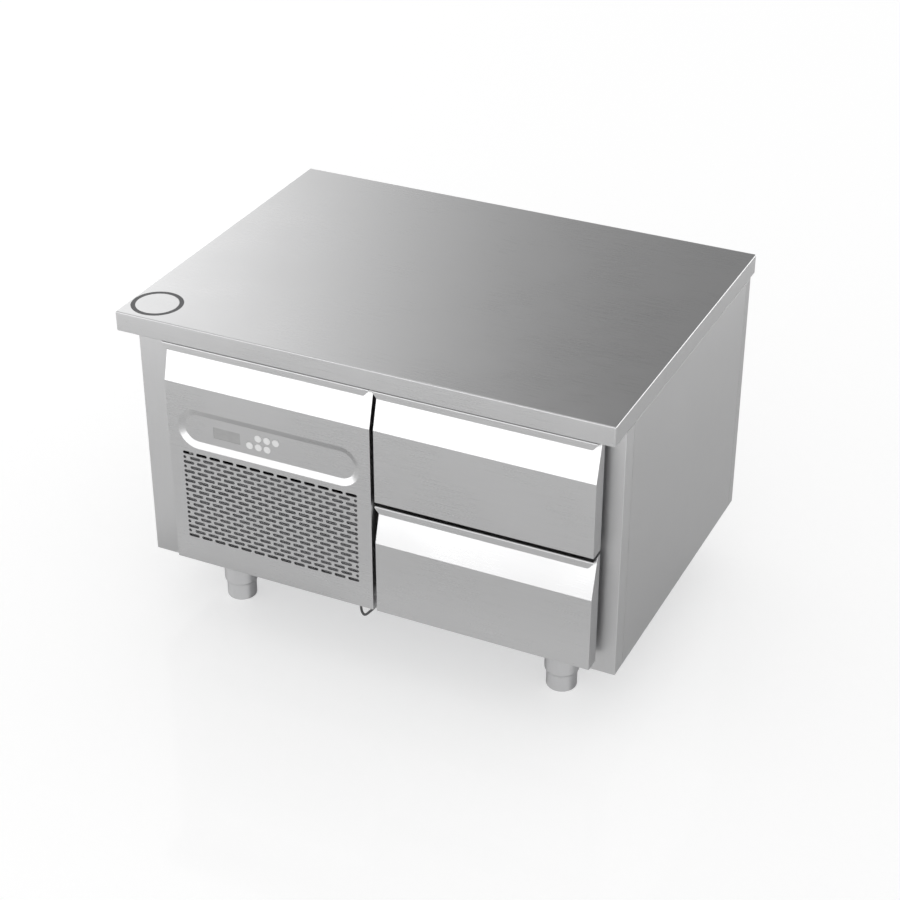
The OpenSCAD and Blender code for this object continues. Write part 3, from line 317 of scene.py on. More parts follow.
def bakedMesh(piece, name):  # the plain mesh that an object's modifiers give
    bpy.context.view_layer.update()
    depsgraph = bpy.context.evaluated_depsgraph_get()
    mesh = bpy.data.meshes.new_from_object(piece.evaluated_get(depsgraph), preserve_all_data_layers=True,
                                           depsgraph=depsgraph)
    mesh.name = name
    return mesh


def settle(piece, body, slot, *replaced):  # the body that it rides on and the CAD nodes that it replaces, which it hides; slot is not used
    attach(piece, body)
    if replaced:
        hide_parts(*replaced)
    return piece


def settleNode(piece, node):  # on the body of a CAD node and in its place, with the node hidden
    return settle(piece, bodyOf[node], slotOf[node], node)


def bevel(bm, chosen, offset, segments, clamp=True):  # the chosen edges made round
    bmesh.ops.bevel(bm, geom=chosen, offset=offset, offset_type="OFFSET", segments=segments, profile=0.5,
                    affect="EDGES", clamp_overlap=clamp)


def quarterTurned(place, axis):  # a move, after a quarter turn about an axis
    return Matrix.Translation(place) @ Matrix.Rotation(math.radians(90), 4, axis)


def nodeMesh(node):  # a CAD node's mesh, merged, with its flat faces joined
    bm = bmesh.new()
    bm.from_mesh(cadNodes[node].data)
    bmesh.ops.remove_doubles(bm, verts=bm.verts[:], dist=edges["merge"])
    bmesh.ops.dissolve_limit(bm, angle_limit=math.radians(edges["flat"]), verts=bm.verts[:], edges=bm.edges[:])
    bm.normal_update()
    return bm


def breadth(face):  # near enough the narrow side of a long face
    return 2 * face.calc_area() / max(face.calc_perimeter(), 1e-9)


def roundEdges(bm, fold, cut):  # folds between broad faces get a bend radius, cut edges are only broken
    def pick(least, test=lambda edge: True):
        return [edge for edge in bm.edges if len(edge.link_faces) == 2
                and edge.calc_face_angle(0) > math.radians(least) and test(edge)]

    def betweenBroad(edge):
        broad = min(breadth(face) for face in edge.link_faces)
        return broad > edges["foldBreadth"] * fold and edge.calc_length() > edges["foldLength"] * fold

    if fold:
        bevel(bm, pick(edges["foldAngle"], betweenBroad), fold, 4)
        bm.normal_update()
    if cut:
        bevel(bm, pick(edges["cutAngle"]), cut, 2)


def dressNode(node, name, finish, fold=0.0, cut=0.00025):
    bm = nodeMesh(node)
    roundEdges(bm, fold, cut)
    return settleNode(meshPiece(name, bm, finishes[finish]), node)


def bridgeRings(bm, rings, capped=False):  # quads between closed loops of points, and perhaps a face at each end
    loops = [[bm.verts.new(point) for point in ring] for ring in rings]
    count = len(loops[0])
    for lower, upper in zip(loops, loops[1:]):
        for i in range(count):
            j = (i + 1) % count
            bm.faces.new((lower[i], lower[j], upper[j], upper[i]))
    if capped:
        bm.faces.new(loops[0][::-1])
        bm.faces.new(loops[-1])


def outward(bm, merge=1e-7):  # closed, with every face turned outward
    bmesh.ops.remove_doubles(bm, verts=bm.verts[:], dist=merge)
    bmesh.ops.recalc_face_normals(bm, faces=bm.faces[:])
    return bm


def arc(centre, radius, start, end, steps):  # points of an arc in a plane, angles in degrees
    angles = [math.radians(start + (end - start) * i / steps) for i in range(steps + 1)]
    return [(centre[0] + radius * math.cos(a), centre[1] + radius * math.sin(a)) for a in angles]


def turned(profile, sides=48, matrix=Matrix.Identity(4)):  # a closed shape turned about Z; profile is (radius, height)
    bm = bmesh.new()
    rings = []
    for radius, height in profile:
        rings.append([(max(radius, 1e-7) * math.cos(2 * math.pi * i / sides),
                       max(radius, 1e-7) * math.sin(2 * math.pi * i / sides), height) for i in range(sides)])
    bridgeRings(bm, rings + [rings[0]])
    outward(bm)
    bm.transform(matrix)
    return bm


def tubeAlong(path, radius, sides=16):  # a tube on a path, without twist
    points = [Vector(p) for p in path]
    bm = bmesh.new()
    rings = []
    side = None
    for i, point in enumerate(points):
        ahead = (points[min(i + 1, len(points) - 1)] - points[max(i - 1, 0)]).normalized()
        if side is None:
            side = ahead.orthogonal().normalized()
        side = (side - ahead * side.dot(ahead)).normalized()
        other = ahead.cross(side)
        turns = [2 * math.pi * k / sides for k in range(sides)]
        rings.append([point + radius * (math.cos(turn) * side + math.sin(turn) * other) for turn in turns])
    bridgeRings(bm, rings, capped=True)
    bmesh.ops.recalc_face_normals(bm, faces=bm.faces[:])
    return bm


def smoothPath(points, steps):  # a curve through the points, evenly filled in
    points = [Vector(p) for p in points]
    ends = [points[0] * 2 - points[1]] + points + [points[-1] * 2 - points[-2]]
    path = []
    for i in range(1, len(ends) - 2):
        a, b, c, d = ends[i - 1:i + 3]
        square, cube = 2 * a - 5 * b + 4 * c - d, 3 * b - a - 3 * c + d
        for k in range(steps):
            t = k / steps
            path.append(0.5 * (2 * b + (c - a) * t + square * t * t + cube * t ** 3))
    return path + [points[-1]]


def joined(*meshes):  # several bmeshes in one
    whole = bmesh.new()
    for bm in meshes:
        mesh = meshFrom("joining", bm)
        whole.from_mesh(mesh)
        bpy.data.meshes.remove(mesh)
    return whole


def block(low, high, edge=0.0, steps=2):  # a box with rounded edges
    bm = bmesh.new()
    bmesh.ops.create_cube(bm, size=1)
    low, high = Vector(low), Vector(high)
    bmesh.ops.scale(bm, vec=high - low, verts=bm.verts[:])
    bmesh.ops.translate(bm, vec=(high + low) / 2, verts=bm.verts[:])
    if edge:
        bevel(bm, bm.edges[:], edge, steps)
    return bm


# Geometry node trees for what repeats

class Rule:  # a node tree with named inputs, and short ways to wire it
    def __init__(self, name, **inputs):
        kinds = {bool: "NodeSocketBool", int: "NodeSocketInt", float: "NodeSocketFloat", tuple: "NodeSocketVector",
                 "object": "NodeSocketObject", "material": "NodeSocketMaterial"}
        self.tree = bpy.data.node_groups.new(name, "GeometryNodeTree")
        self.tree.interface.new_socket("Geometry", in_out="INPUT", socket_type="NodeSocketGeometry")
        self.ids = {}
        for label, value in inputs.items():
            kind = kinds[value] if isinstance(value, str) else kinds[type(value)]
            item = self.tree.interface.new_socket(label, in_out="INPUT", socket_type=kind)
            if not isinstance(value, str):
                item.default_value = value
            self.ids[label] = item.identifier
        self.tree.interface.new_socket("Geometry", in_out="OUTPUT", socket_type="NodeSocketGeometry")
        self.given = self.tree.nodes.new("NodeGroupInput").outputs

    def add(self, kind, inputs=None, **settings):
        return addNode(self.tree, kind, inputs, **settings)

    def maths(self, operation, *values):
        return maths(self.tree, operation, *values)

    def vector(self, **parts):  # from X, Y and Z, the ones left out being 0
        return self.add("ShaderNodeCombineXYZ", parts).outputs[0]

    def line(self, count, offset):  # points in a row
        return self.add("GeometryNodeMeshLine", {"Count": count, "Offset": offset}).outputs[0]

    def shape(self, label):  # the geometry of an object that the tree is given
        return self.add("GeometryNodeObjectInfo", {"Object": self.given[label]}).outputs["Geometry"]

    def scattered(self, points, shape, **more):  # an instance of the shape on every point
        inputs = {"Points": points, "Instance": shape, **more}
        return self.add("GeometryNodeInstanceOnPoints", inputs).outputs[0]

    def join(self, *sockets):
        node = self.add("GeometryNodeJoinGeometry")
        for socket in sockets:
            self.tree.links.new(socket, node.inputs[0])
        return node.outputs[0]

    def end(self, geometry, weld=0.0):  # instances made real, seams welded, finish set
        real = self.add("GeometryNodeRealizeInstances", {"Geometry": geometry}).outputs[0]
        if weld:
            real = self.add("GeometryNodeMergeByDistance", {"Geometry": real, "Distance": weld}).outputs[0]
        painted = self.add("GeometryNodeSetMaterial", {"Geometry": real, "Material": self.given["finish"]})
        self.add("NodeGroupOutput", {0: painted.outputs[0]})
        return self

    def apply(self, name, bm, material, angle=smoothAngle, **values):  # run on a base mesh, as a plain object
        host = placed(name + "Host", meshFrom(name + "Base", bm))
        modifier = host.modifiers.new("rule", "NODES")
        modifier.node_group = self.tree
        modifier[self.ids["finish"]] = material
        for label, value in values.items():
            modifier[self.ids[label]] = value
        mesh = bakedMesh(host, name)
        bpy.data.objects.remove(host)
        return smoothPiece(name, mesh, material, angle)


def template(name, bm):  # an object that a rule repeats; removed at the end
    templates.append(placed(name, meshFrom(name, bm)))
    return templates[-1]


templates = []


def pointCloud(points, facing):  # bare points, each with the direction that it faces
    bm = bmesh.new()
    layer = bm.verts.layers.float_vector.new("facing")
    for point in points:
        bm.verts.new(point)[layer] = facing
    return bm


def scatterRule():  # one template on every point, turned to the way that the point faces
    rule = Rule("fastenersOnPoints", fastener="object", size=1.0, finish="material")
    facing = rule.add("GeometryNodeInputNamedAttribute", {"Name": "facing"}, data_type="FLOAT_VECTOR")
    turn = rule.add("FunctionNodeAlignRotationToVector", {"Vector": facing.outputs["Attribute"]}, axis="Z")
    return rule.end(rule.scattered(rule.given["Geometry"], rule.shape("fastener"), Rotation=turn.outputs[0],
                                   Scale=rule.given["size"]))


def rowRule():  # one template repeated along a line
    rule = Rule("pileOfFins", fin="object", count=10, step=(0.0, 0.0, 0.0), finish="material")
    return rule.end(rule.scattered(rule.line(rule.given["count"], rule.given["step"]), rule.shape("fin")))


def bladeRule():  # one blade repeated round Z, with the hub that the base mesh gives
    rule = Rule("bladesRoundHub", blade="object", count=5, finish="material")
    count = rule.given["count"]
    share = rule.maths("DIVIDE", rule.add("GeometryNodeInputIndex").outputs[0], count)
    turn = rule.vector(Z=rule.maths("MULTIPLY", share, 2 * math.pi))
    blades = rule.scattered(rule.line(count, (0.0, 0.0, 0.0)), rule.shape("blade"), Rotation=turn)
    return rule.end(rule.join(blades, rule.given["Geometry"]))


def brickRule():  # a perforated sheet: tiles in rows, every second row moved by half a tile
    rule = Rule("brickPerforation", tile="object", endTile="object", across=13, rows=10, pitch=0.0293,
                rowPitch=0.01045, finish="material")
    given = rule.given
    tile, endTile = rule.shape("tile"), rule.shape("endTile")

    def less(value):
        return rule.maths("SUBTRACT", value, 1.0)

    def times(value, factor):
        return rule.maths("MULTIPLY", value, factor)

    def grid(across, rows):
        node = rule.add("GeometryNodeMeshGrid", {
            "Size X": times(less(across), given["pitch"]), "Size Y": times(times(less(rows), given["rowPitch"]), 2.0),
            "Vertices X": across, "Vertices Y": rows})
        return rule.scattered(node.outputs[0], tile)

    fewerAcross, fewerRows = less(given["across"]), less(given["rows"])
    rows = [grid(given["across"], given["rows"]), grid(fewerAcross, fewerRows)]
    for side in (-1, 1):
        line = rule.line(fewerRows, rule.vector(Y=times(given["rowPitch"], 2.0)))
        start = rule.vector(X=times(times(less(given["across"]), given["pitch"]), 0.5 * side),
                            Y=times(times(less(fewerRows), given["rowPitch"]), -1.0))
        moved = rule.add("GeometryNodeTransform", {"Geometry": line, "Translation": start}).outputs[0]
        rows.append(rule.scattered(moved, endTile, Rotation=(0.0, 0.0, 0.0 if side < 0 else math.pi)))
    return rule.end(rule.join(*rows, given["Geometry"]), weld=0.00002)


def threadRule():  # a helical ridge
    rule = Rule("threadRidge", radius=0.0145, pitch=0.0035, turns=18.0, ridge=0.0011, finish="material")
    given = rule.given
    helix = rule.add("GeometryNodeCurveSpiral", {
        "Resolution": 24, "Rotations": given["turns"], "Start Radius": given["radius"], "End Radius": given["radius"],
        "Height": rule.maths("MULTIPLY", given["pitch"], given["turns"])})
    section = rule.add("GeometryNodeCurvePrimitiveCircle", {"Resolution": 4, "Radius": given["ridge"]}, mode="RADIUS")
    ridge = rule.add("GeometryNodeCurveToMesh", {
        "Curve": helix.outputs[0], "Profile Curve": section.outputs[0], "Fill Caps": True})
    return rule.end(rule.join(ridge.outputs[0], given["Geometry"]))


def weaveRule():  # a woven mat: wires along both directions
    rule = Rule("wovenMat", warp="object", weft="object", warpCount=10, weftCount=10, warpStep=(0.0, 0.0, 0.0),
                weftStep=(0.0, 0.0, 0.0), finish="material")
    sheets = [rule.scattered(rule.line(rule.given[thread + "Count"], rule.given[thread + "Step"]), rule.shape(thread))
              for thread in ("warp", "weft")]
    return rule.end(rule.join(*sheets, rule.given["Geometry"]))


rules = {"scatter": scatterRule(), "row": rowRule(), "blades": bladeRule(), "brick": brickRule(),
         "thread": threadRule(), "weave": weaveRule()}
print("Geometry node rules made:", len(rules))


# Worktop: a folded tray with rounded upper edges, turned under all round

worktop = {"half": (0.5, 0.375), "top": 0.680, "bottom": 0.640, "sheet": 0.0015, "corner": 0.003,
           "leastCorner": 0.0004, "upperFold": 0.0022, "lowerFold": 0.0018, "return": 0.0605}


def roundedRing(half, inset, corner, height, steps=5):
    corner = max(corner - inset, worktop["leastCorner"])
    x, y = half[0] - inset - corner, half[1] - inset - corner
    ring = []
    for sx, sy, start in ((1, 1, 0), (-1, 1, 90), (-1, -1, 180), (1, -1, 270)):
        ring += [(px, py, height) for px, py in arc((sx * x, sy * y), corner, start, start + 90, steps)]
    return ring


def makeWorktop():
    size = worktop
    outline = [(size["upperFold"] - dx, size["top"] - size["upperFold"] + dz)
               for dx, dz in arc((0, 0), size["upperFold"], 90, 0, 5)]
    low = size["lowerFold"]
    outline += [(low - dx, size["bottom"] + low + dz) for dx, dz in arc((0, 0), low, 0, -90, 4)]
    outline += [(size["return"], size["bottom"]), (size["return"], size["bottom"] + size["sheet"]),
                (size["sheet"], size["bottom"] + size["sheet"]), (size["sheet"], size["top"] - size["sheet"])]
    bm = bmesh.new()
    rings = [roundedRing(size["half"], inset, size["corner"], z) for inset, z in outline]
    bridgeRings(bm, rings, capped=True)
    settleNode(meshPiece("worktopTray", outward(bm), finishes["sheetAlongX"]), "worktop")
    dressNode("worktop_board", "worktopCore", "board", cut=0.001)


makeWorktop()

# A plain printed ring near the front left corner
topRing = {"centre": (-0.446, -0.314), "outer": 0.050, "inner": 0.0412, "height": 0.00005, "clear": 0.00002,
           "slope": 0.0001}


def makeRing():
    size = topRing
    base = worktop["top"] + size["clear"]
    profile = [(size["outer"], base), (size["outer"] - size["slope"], base + size["height"]),
               (size["inner"] + size["slope"], base + size["height"]), (size["inner"], base)]
    bm = turned(profile, 128, Matrix.Translation((*size["centre"], 0)))
    settle(meshPiece("worktopRing", bm, finishes["ringInk"]), "cabinet", "plastic_black")


makeRing()
print("Worktop made")


# Cabinet sheet metal

sheetFold = 0.0012
dressed = [  # finish, fold, and each CAD node with the name of its piece
    ("sheetAlongZ", sheetFold, {"left_stile": "leftStile", "right_stile": "rightStile", "mullion": "mullionPost"}),
    ("sheetAlongX", sheetFold, {"bottom_rail": "bottomRail", "top_rail": "topRail", "cross_rail": "crossRail"}),
    ("sideSheet", 0.0, {"left_side_panel": "leftSidePanel", "right_side_panel": "rightSidePanel"}),
    ("sheetAlongX", sheetFold, {"back_panel": "backPanel"}),
    ("galvanised", 0.0, {"base_panel": "basePanel"}),
    ("cellSteel", 0.0, {"inner_liner": "innerLiner"}),
    ("galvanised", 0.0, {"partition": "partitionSheet"}),
    ("cellSteel", 0.0, {"evaporator_cover": "evaporatorCover", "runner_uprights": "runnerUprights"}),
    ("foam", 0.0, {"foam_insulation": "foamSlabs"}),
    ("blackSheet", 0.0, {"fan_shroud": "fanShroud"}),
    ("greyPlastic", 0.002, {"electrical_box": "electricalBox"}),
    ("blackPlastic", 0.0, {"condensate_tray": "condensateTray"}),
    ("galvanised", 0.0, {"panel_hinges": "hingeBrackets", "outer_runners": "outerRunners",
                         "upper_mid_runners": "upperMidRunners", "lower_mid_runners": "lowerMidRunners",
                         "upper_inner_runners": "upperInnerRunners", "lower_inner_runners": "lowerInnerRunners"}),
    ("cellSteel", 0.0, {"upper_drawer_box": "upperDrawerBox", "lower_drawer_box": "lowerDrawerBox"})]

for finish, fold, members in dressed:
    for node, name in members.items():
        dressNode(node, name, finish, fold)
print("Sheet metal dressed")


# Fronts: one folded sheet each, with a sloped hand hold behind a hanging lip

front = {"sheet": 0.0012, "handHold": 0.082, "handDepth": 0.022, "lip": 0.015, "lipCut": (0.0095, 0.0112),
         "lipRound": 0.006, "topFold": 0.0026, "bend": 0.003, "lowerFold": 0.0016, "endFold": 0.0006}
recess = {"length": 0.38875, "height": 0.084, "border": 0.013, "depth": 0.005, "middle": 0.461, "mouthFold": 0.003,
          "floorFold": 0.003, "buttonPlay": 0.0003, "hingeBore": 0.0045}
frontCore = {"plate": 0.0008, "edge": 0.0002}
bendSteps = 5
touching = 1e-6


def bentOutline(corners):  # a chain of (y, z, radius) corners with an arc at each bend
    chain = [Vector(corners[0][:2])]
    for before, (y, z, radius), after in zip(corners, corners[1:], corners[2:]):
        here = Vector((y, z))
        if not radius:
            chain.append(here)
            continue
        a, b = (Vector(before[:2]) - here).normalized(), (Vector(after[:2]) - here).normalized()
        half = a.angle(b) / 2
        centre = here + (a + b).normalized() * (radius / math.sin(half))
        reach = radius / math.tan(half)
        start, end = here + a * reach - centre, here + b * reach - centre
        sweep = start.angle(end)
        for k in range(bendSteps + 1):
            t = k / bendSteps
            chain.append(centre + (math.sin((1 - t) * sweep) * start + math.sin(t * sweep) * end) / math.sin(sweep))
    return chain + [Vector(corners[-1][:2])]


def flatSheet(bm, outline, holes, depth, axis="y"):
    # a flat face with holes, in X and Z at a depth, or in X and Y at a height
    def spot(x, other):
        return Vector((x, depth, other)) if axis == "y" else Vector((x, other, depth))

    loops = [[spot(*point) for point in loop] for loop in (outline, *holes)]
    verts = [bm.verts.new(point) for loop in loops for point in loop]
    for a, b, c in tessellate_polygon(loops):
        if (verts[b].co - verts[a].co).cross(verts[c].co - verts[a].co).length > 1e-12:
            bm.faces.new((verts[a], verts[b], verts[c]))


def addFace(bm, points):
    bm.faces.new([bm.verts.new(point) for point in points])


def strip(bm, chain, stations):  # a chain of (y, z) points swept over the stations along X
    for (ay, az), (by, bz) in zip(chain, chain[1:]):
        for x0, x1 in zip(stations, stations[1:]):
            addFace(bm, ((x0, ay, az), (x1, ay, az), (x1, by, bz), (x0, by, bz)))


def capFace(bm, chain, x):
    loop = [Vector((x, y, z)) for y, z in chain]
    verts = [bm.verts.new(point) for point in loop]
    for a, b, c in tessellate_polygon([loop]):
        bm.faces.new((verts[a], verts[b], verts[c]))


def obround(length, height, middle, steps=24):
    reach, radius = (length - height) / 2, height / 2
    return [(middle[0] + x, middle[1] + z) for x, z in
            arc((reach, 0), radius, -90, 90, steps) + arc((-reach, 0), radius, 90, 270, steps)]


def rectangle(x0, z0, x1, z1):
    return [(x0, z0), (x1, z0), (x1, z1), (x0, z1)]


def circle(x, z, radius, steps=36):
    return arc((x, z), radius, 0, 360, steps)[:-1]


def cutOut(node, low):  # the rectangle of a CAD node as seen from the front, measured from a corner
    a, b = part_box(node)
    return rectangle(a.x - low.x, a.z - low.z, b.x - low.x, b.z - low.z)


def makeFront(node, name, faceHoles=(), backHoles=(), bore=None, extra=None):
    size, s = front, front["sheet"]
    low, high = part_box(node)
    w, t, h = high.x - low.x, high.y - low.y, high.z - low.z
    bend, deep = h - size["handHold"], size["handDepth"]
    slope = deep / (size["handHold"] - s)
    sheetAcross = s * math.sqrt(1 + slope * slope)
    stations = [0, s, w - s, w]
    bm = bmesh.new()

    def atEnds(chain):  # only over the end plates
        strip(bm, chain, stations[:2])
        strip(bm, chain, stations[2:])

    top = bentOutline([(t, h, 0), (0, h, size["topFold"]), (0, h - size["lip"], 0)])[:-1]
    lower = bentOutline([(deep, h - s, 0), (0, bend, size["bend"]), (0, 0, size["lowerFold"]), (t, 0, 0)])
    bent = bendSteps + 2  # the number of points as far as the end of the first bend
    face = lower[bent - 1:bent + 1]
    cutX, cutZ = size["lipCut"]
    lipLow = h - size["lip"]
    lipEdge = bentOutline([(w / 2, lipLow, 0), (cutX, lipLow, size["lipRound"]), (0, lipLow + cutZ, 0)])
    lipEdge = [tuple(point) for point in lipEdge[1:]]
    lipPath = lipEdge[::-1] + [(w - x, z) for x, z in lipEdge]
    # outer side: top flange and fold, lip, hand hold, face, bottom fold and flange
    strip(bm, top[1:], stations)
    lipTop = top[-1].y
    for y, z in ((0, lipTop), (s, h - s)):
        addFace(bm, [(x, y, z) for x in stations[::-1]] + [(px, y, pz) for px, pz in lipPath])
    for (ax, az), (bx, bz) in zip(lipPath, lipPath[1:]):
        addFace(bm, ((ax, 0, az), (bx, 0, bz), (bx, s, bz), (ax, s, az)))
    for chain in ([(s, h - s), (deep, h - s)], lower[:bent], lower[bent:-1]):
        strip(bm, chain, stations)
    if faceHoles:
        atEnds(face)
        flatSheet(bm, rectangle(s, face[1].y, w - s, face[0].y), faceHoles, 0)
    else:
        strip(bm, face, stations)
    # inner side, between the end plates
    innerBend = bend + (s - sheetAcross) / slope
    inner = [(t, s), (s, s), (s, innerBend), (deep + sheetAcross, h - s), (t, h - s)]
    inside = stations[1:3]
    if backHoles:
        flatSheet(bm, rectangle(inside[0], s, inside[1], innerBend), backHoles, s)
        bridgeRings(bm, [[(x, y, z) for x, z in hole] for y, hole in ((0, faceHoles[0]), (s, backHoles[0]))])
    else:
        strip(bm, inner[1:3], inside)
    strip(bm, inner[2:4], inside)
    # flanges, with the hinge's bores where there are any
    for height, start, whole in ((h, top[1].x, True), (h - s, deep + sheetAcross, False), (0, lower[-2].x, True),
                                 (s, s, False)):
        flatSheet(bm, rectangle(s, start, w - s, t), [circle(*bore)] if bore else [], height, "z")
        if whole:
            atEnds([(start, height), (t, height)])
    if bore:
        for a, b in ((h, h - s), (0, s)):
            bridgeRings(bm, [[(x, y, z) for x, y in circle(*bore)] for z in (a, b)])
    for z0, z1 in ((0, s), (h - s, h)):
        strip(bm, [(t, z0), (t, z1)], stations)
    atEnds([(t, s), (t, h - s)])
    # end plates
    lipEnd = lipPath[0][1]
    outline = [*top, (0, lipEnd), (s, lipEnd), (s, h - s), *lower, (t, s), (t, h - s)]
    for x, chain in ((0, outline), (w, outline), (s, inner), (w - s, inner)):
        capFace(bm, chain, x)
    if extra:
        extra(bm, low)
    outward(bm, touching)
    rounded = {(round(y, 6), round(z, 6)) for y, z in lower[:-1]}
    ends = [e for e in bm.edges if any(all(abs(v.co.x - x) < touching for v in e.verts) for x in (0, w))
            and all((round(v.co.y, 6), round(v.co.z, 6)) in rounded for v in e.verts)
            and len(e.link_faces) == 2 and e.calc_face_angle(0) > math.radians(60)]
    bevel(bm, ends, size["endFold"], 3, clamp=False)
    bm.transform(Matrix.Translation(low))
    settleNode(meshPiece(name, bm, finishes["sheetAlongX"], 40), node)


def pressedPan(bm, low):  # the recess: a rounded mouth, a sloped border and a floor with cut-outs
    size, s = recess, front["sheet"]
    mid = ((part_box("service_panel_skin")[1].x - low.x) / 2, size["middle"] - low.z)
    fall = math.atan2(size["depth"], size["border"])
    mouth, heel = size["mouthFold"], size["floorFold"]
    section = []
    for k in range(5):
        a = fall * k / 4
        section.append((-mouth * math.tan(fall / 2) + mouth * math.sin(a), mouth * (1 - math.cos(a))))
    for k in range(5):
        a = fall * (1 - k / 4)
        section.append((size["border"] + heel * math.tan(fall / 2) - heel * math.sin(a),
                        size["depth"] - heel * (1 - math.cos(a))))

    def ring(inset, depth):
        return [(x, depth, z) for x, z in obround(size["length"] - 2 * inset, size["height"] - 2 * inset, mid)]

    bridgeRings(bm, [ring(inset, depth) for inset, depth in section])
    share = s / (size["depth"] + s)
    back = [(size["border"] * share - s, s), (size["border"] - s, size["depth"] + s)]
    bridgeRings(bm, [ring(inset, depth) for inset, depth in back])
    holes = [cutOut("display_window", low)]
    for number in range(1, 7):
        a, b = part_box("button_%d" % number)
        holes.append(circle((a.x + b.x) / 2 - low.x, (a.z + b.z) / 2 - low.z, (b.x - a.x) / 2 + size["buttonPlay"]))
    for inset, depth in (section[-1], back[-1]):
        flatSheet(bm, [(x, z) for x, _, z in ring(inset, depth)], holes, depth)
    for hole in holes:
        bridgeRings(bm, [[(x, y, z) for x, z in hole] for y in (size["depth"], size["depth"] + s)])


def makeServicePanel():
    size, s = recess, front["sheet"]
    low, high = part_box("service_panel_skin")
    mid = ((high.x - low.x) / 2, size["middle"] - low.z)
    ease = size["mouthFold"] * math.tan(math.atan2(size["depth"], size["border"]) / 2)
    back = size["border"] * s / (size["depth"] + s) - s
    opening = cutOut("air_grille", low)
    mouth = obround(size["length"] + 2 * ease, size["height"] + 2 * ease, mid)
    rear = obround(size["length"] - 2 * back, size["height"] - 2 * back, mid)
    pin = pivots["service_panel_hinge"]
    makeFront("service_panel_skin", "servicePanel", [opening, mouth], [opening, rear],
              (pin[0] - low.x, pin[1] - low.y, size["hingeBore"]), pressedPan)


def makeCore(node, name):  # the foamed filling, closed at the back by a sheet
    low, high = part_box(node)
    bm = nodeMesh(node)
    for vert in bm.verts:
        vert.co.y = min(vert.co.y, high.y - frontCore["plate"])
    settleNode(meshPiece(name, bm, finishes["foam"]), node)
    plate = block((low.x, high.y - frontCore["plate"], low.z), high, frontCore["edge"])
    settle(meshPiece(name + "Plate", plate, finishes["cellSteel"]), bodyOf[node], slotOf["upper_drawer_box"], node)


makeFront("upper_front_skin", "upperDrawerFront")
makeFront("lower_front_skin", "lowerDrawerFront")
makeServicePanel()
makeCore("upper_front_core", "upperFrontCore")
makeCore("lower_front_core", "lowerFrontCore")
dressNode("service_panel_fillers", "panelFillers", "blackPlastic")
dressNode("controller_housing", "controllerHousing", "blackPlastic", 0.001)
dressNode("display_window", "displayWindow", "display", 0.0006)
uncut = {"compressor": ("compressorShell", "shell"), "compressor_mounts": ("compressorMounts", "rubber"),
         "fan_motors": ("fanMotors", "shell"), "refrigerant_pipes": ("refrigerantPipes", "copper")}
for node, (name, finish) in uncut.items():
    dressNode(node, name, finish, cut=0.0)
print("Fronts made")


# Gaskets: a hollow profile swept round each drawer opening

gasket = {"outer": 0.007, "inner": -0.001, "corner": 0.006, "plane": -0.336, "side": [
    (0.0, 0.0), (0.0, 0.0022), (0.0016, 0.0030), (0.0020, 0.0050), (0.0006, 0.0068), (0.0004, 0.0078), (0.0018, 0.0090),
    (0.0010, 0.0104), (0.0, 0.0120), (0.0, 0.0150), (0.0012, 0.0162)]}


def gasketProfile():  # outward from the opening, and forward from the front's back
    a, b, side = gasket["inner"], gasket["outer"], gasket["side"]
    return [(a, 0.0)] + [(b - x, z) for x, z in side] + [(a + x, z) for x, z in side[:0:-1]]


def makeGasket(node, name):
    low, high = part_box(node)
    size, outer = gasket, gasket["outer"]
    corner = size["corner"] - outer
    bm = bmesh.new()
    rings = []
    for sx, sz, start in ((1, 1, 0), (-1, 1, 90), (-1, -1, 180), (1, -1, 270)):
        cx = (high.x - outer if sx > 0 else low.x + outer) - sx * corner
        cz = (high.z - outer if sz > 0 else low.z + outer) - sz * corner
        for i in range(7):
            angle = math.radians(start + 15 * i)
            away = Vector((math.cos(angle), 0, math.sin(angle)))
            ring = []
            for outwards, forward in gasketProfile():
                shift = min(outwards + corner, 0.0)
                spot = Vector((cx, 0, cz)) + away * max(outwards + corner, 0.0) + Vector((sx * shift, 0, sz * shift))
                ring.append((spot.x, size["plane"] + forward, spot.z))
            rings.append(ring)
    bridgeRings(bm, rings + [rings[0]])
    settleNode(meshPiece(name, outward(bm), finishes["gasket"]), node)


makeGasket("upper_gasket", "upperGasket")
makeGasket("lower_gasket", "lowerGasket")
print("Gaskets made")


# Air grille and its filter

grille = {"across": 13, "rows": 10, "pitch": 0.0293, "rowPitch": 0.01045, "slot": (0.0235, 0.0064), "sheet": 0.0012,
          "rim": 0.00006, "steps": 10}


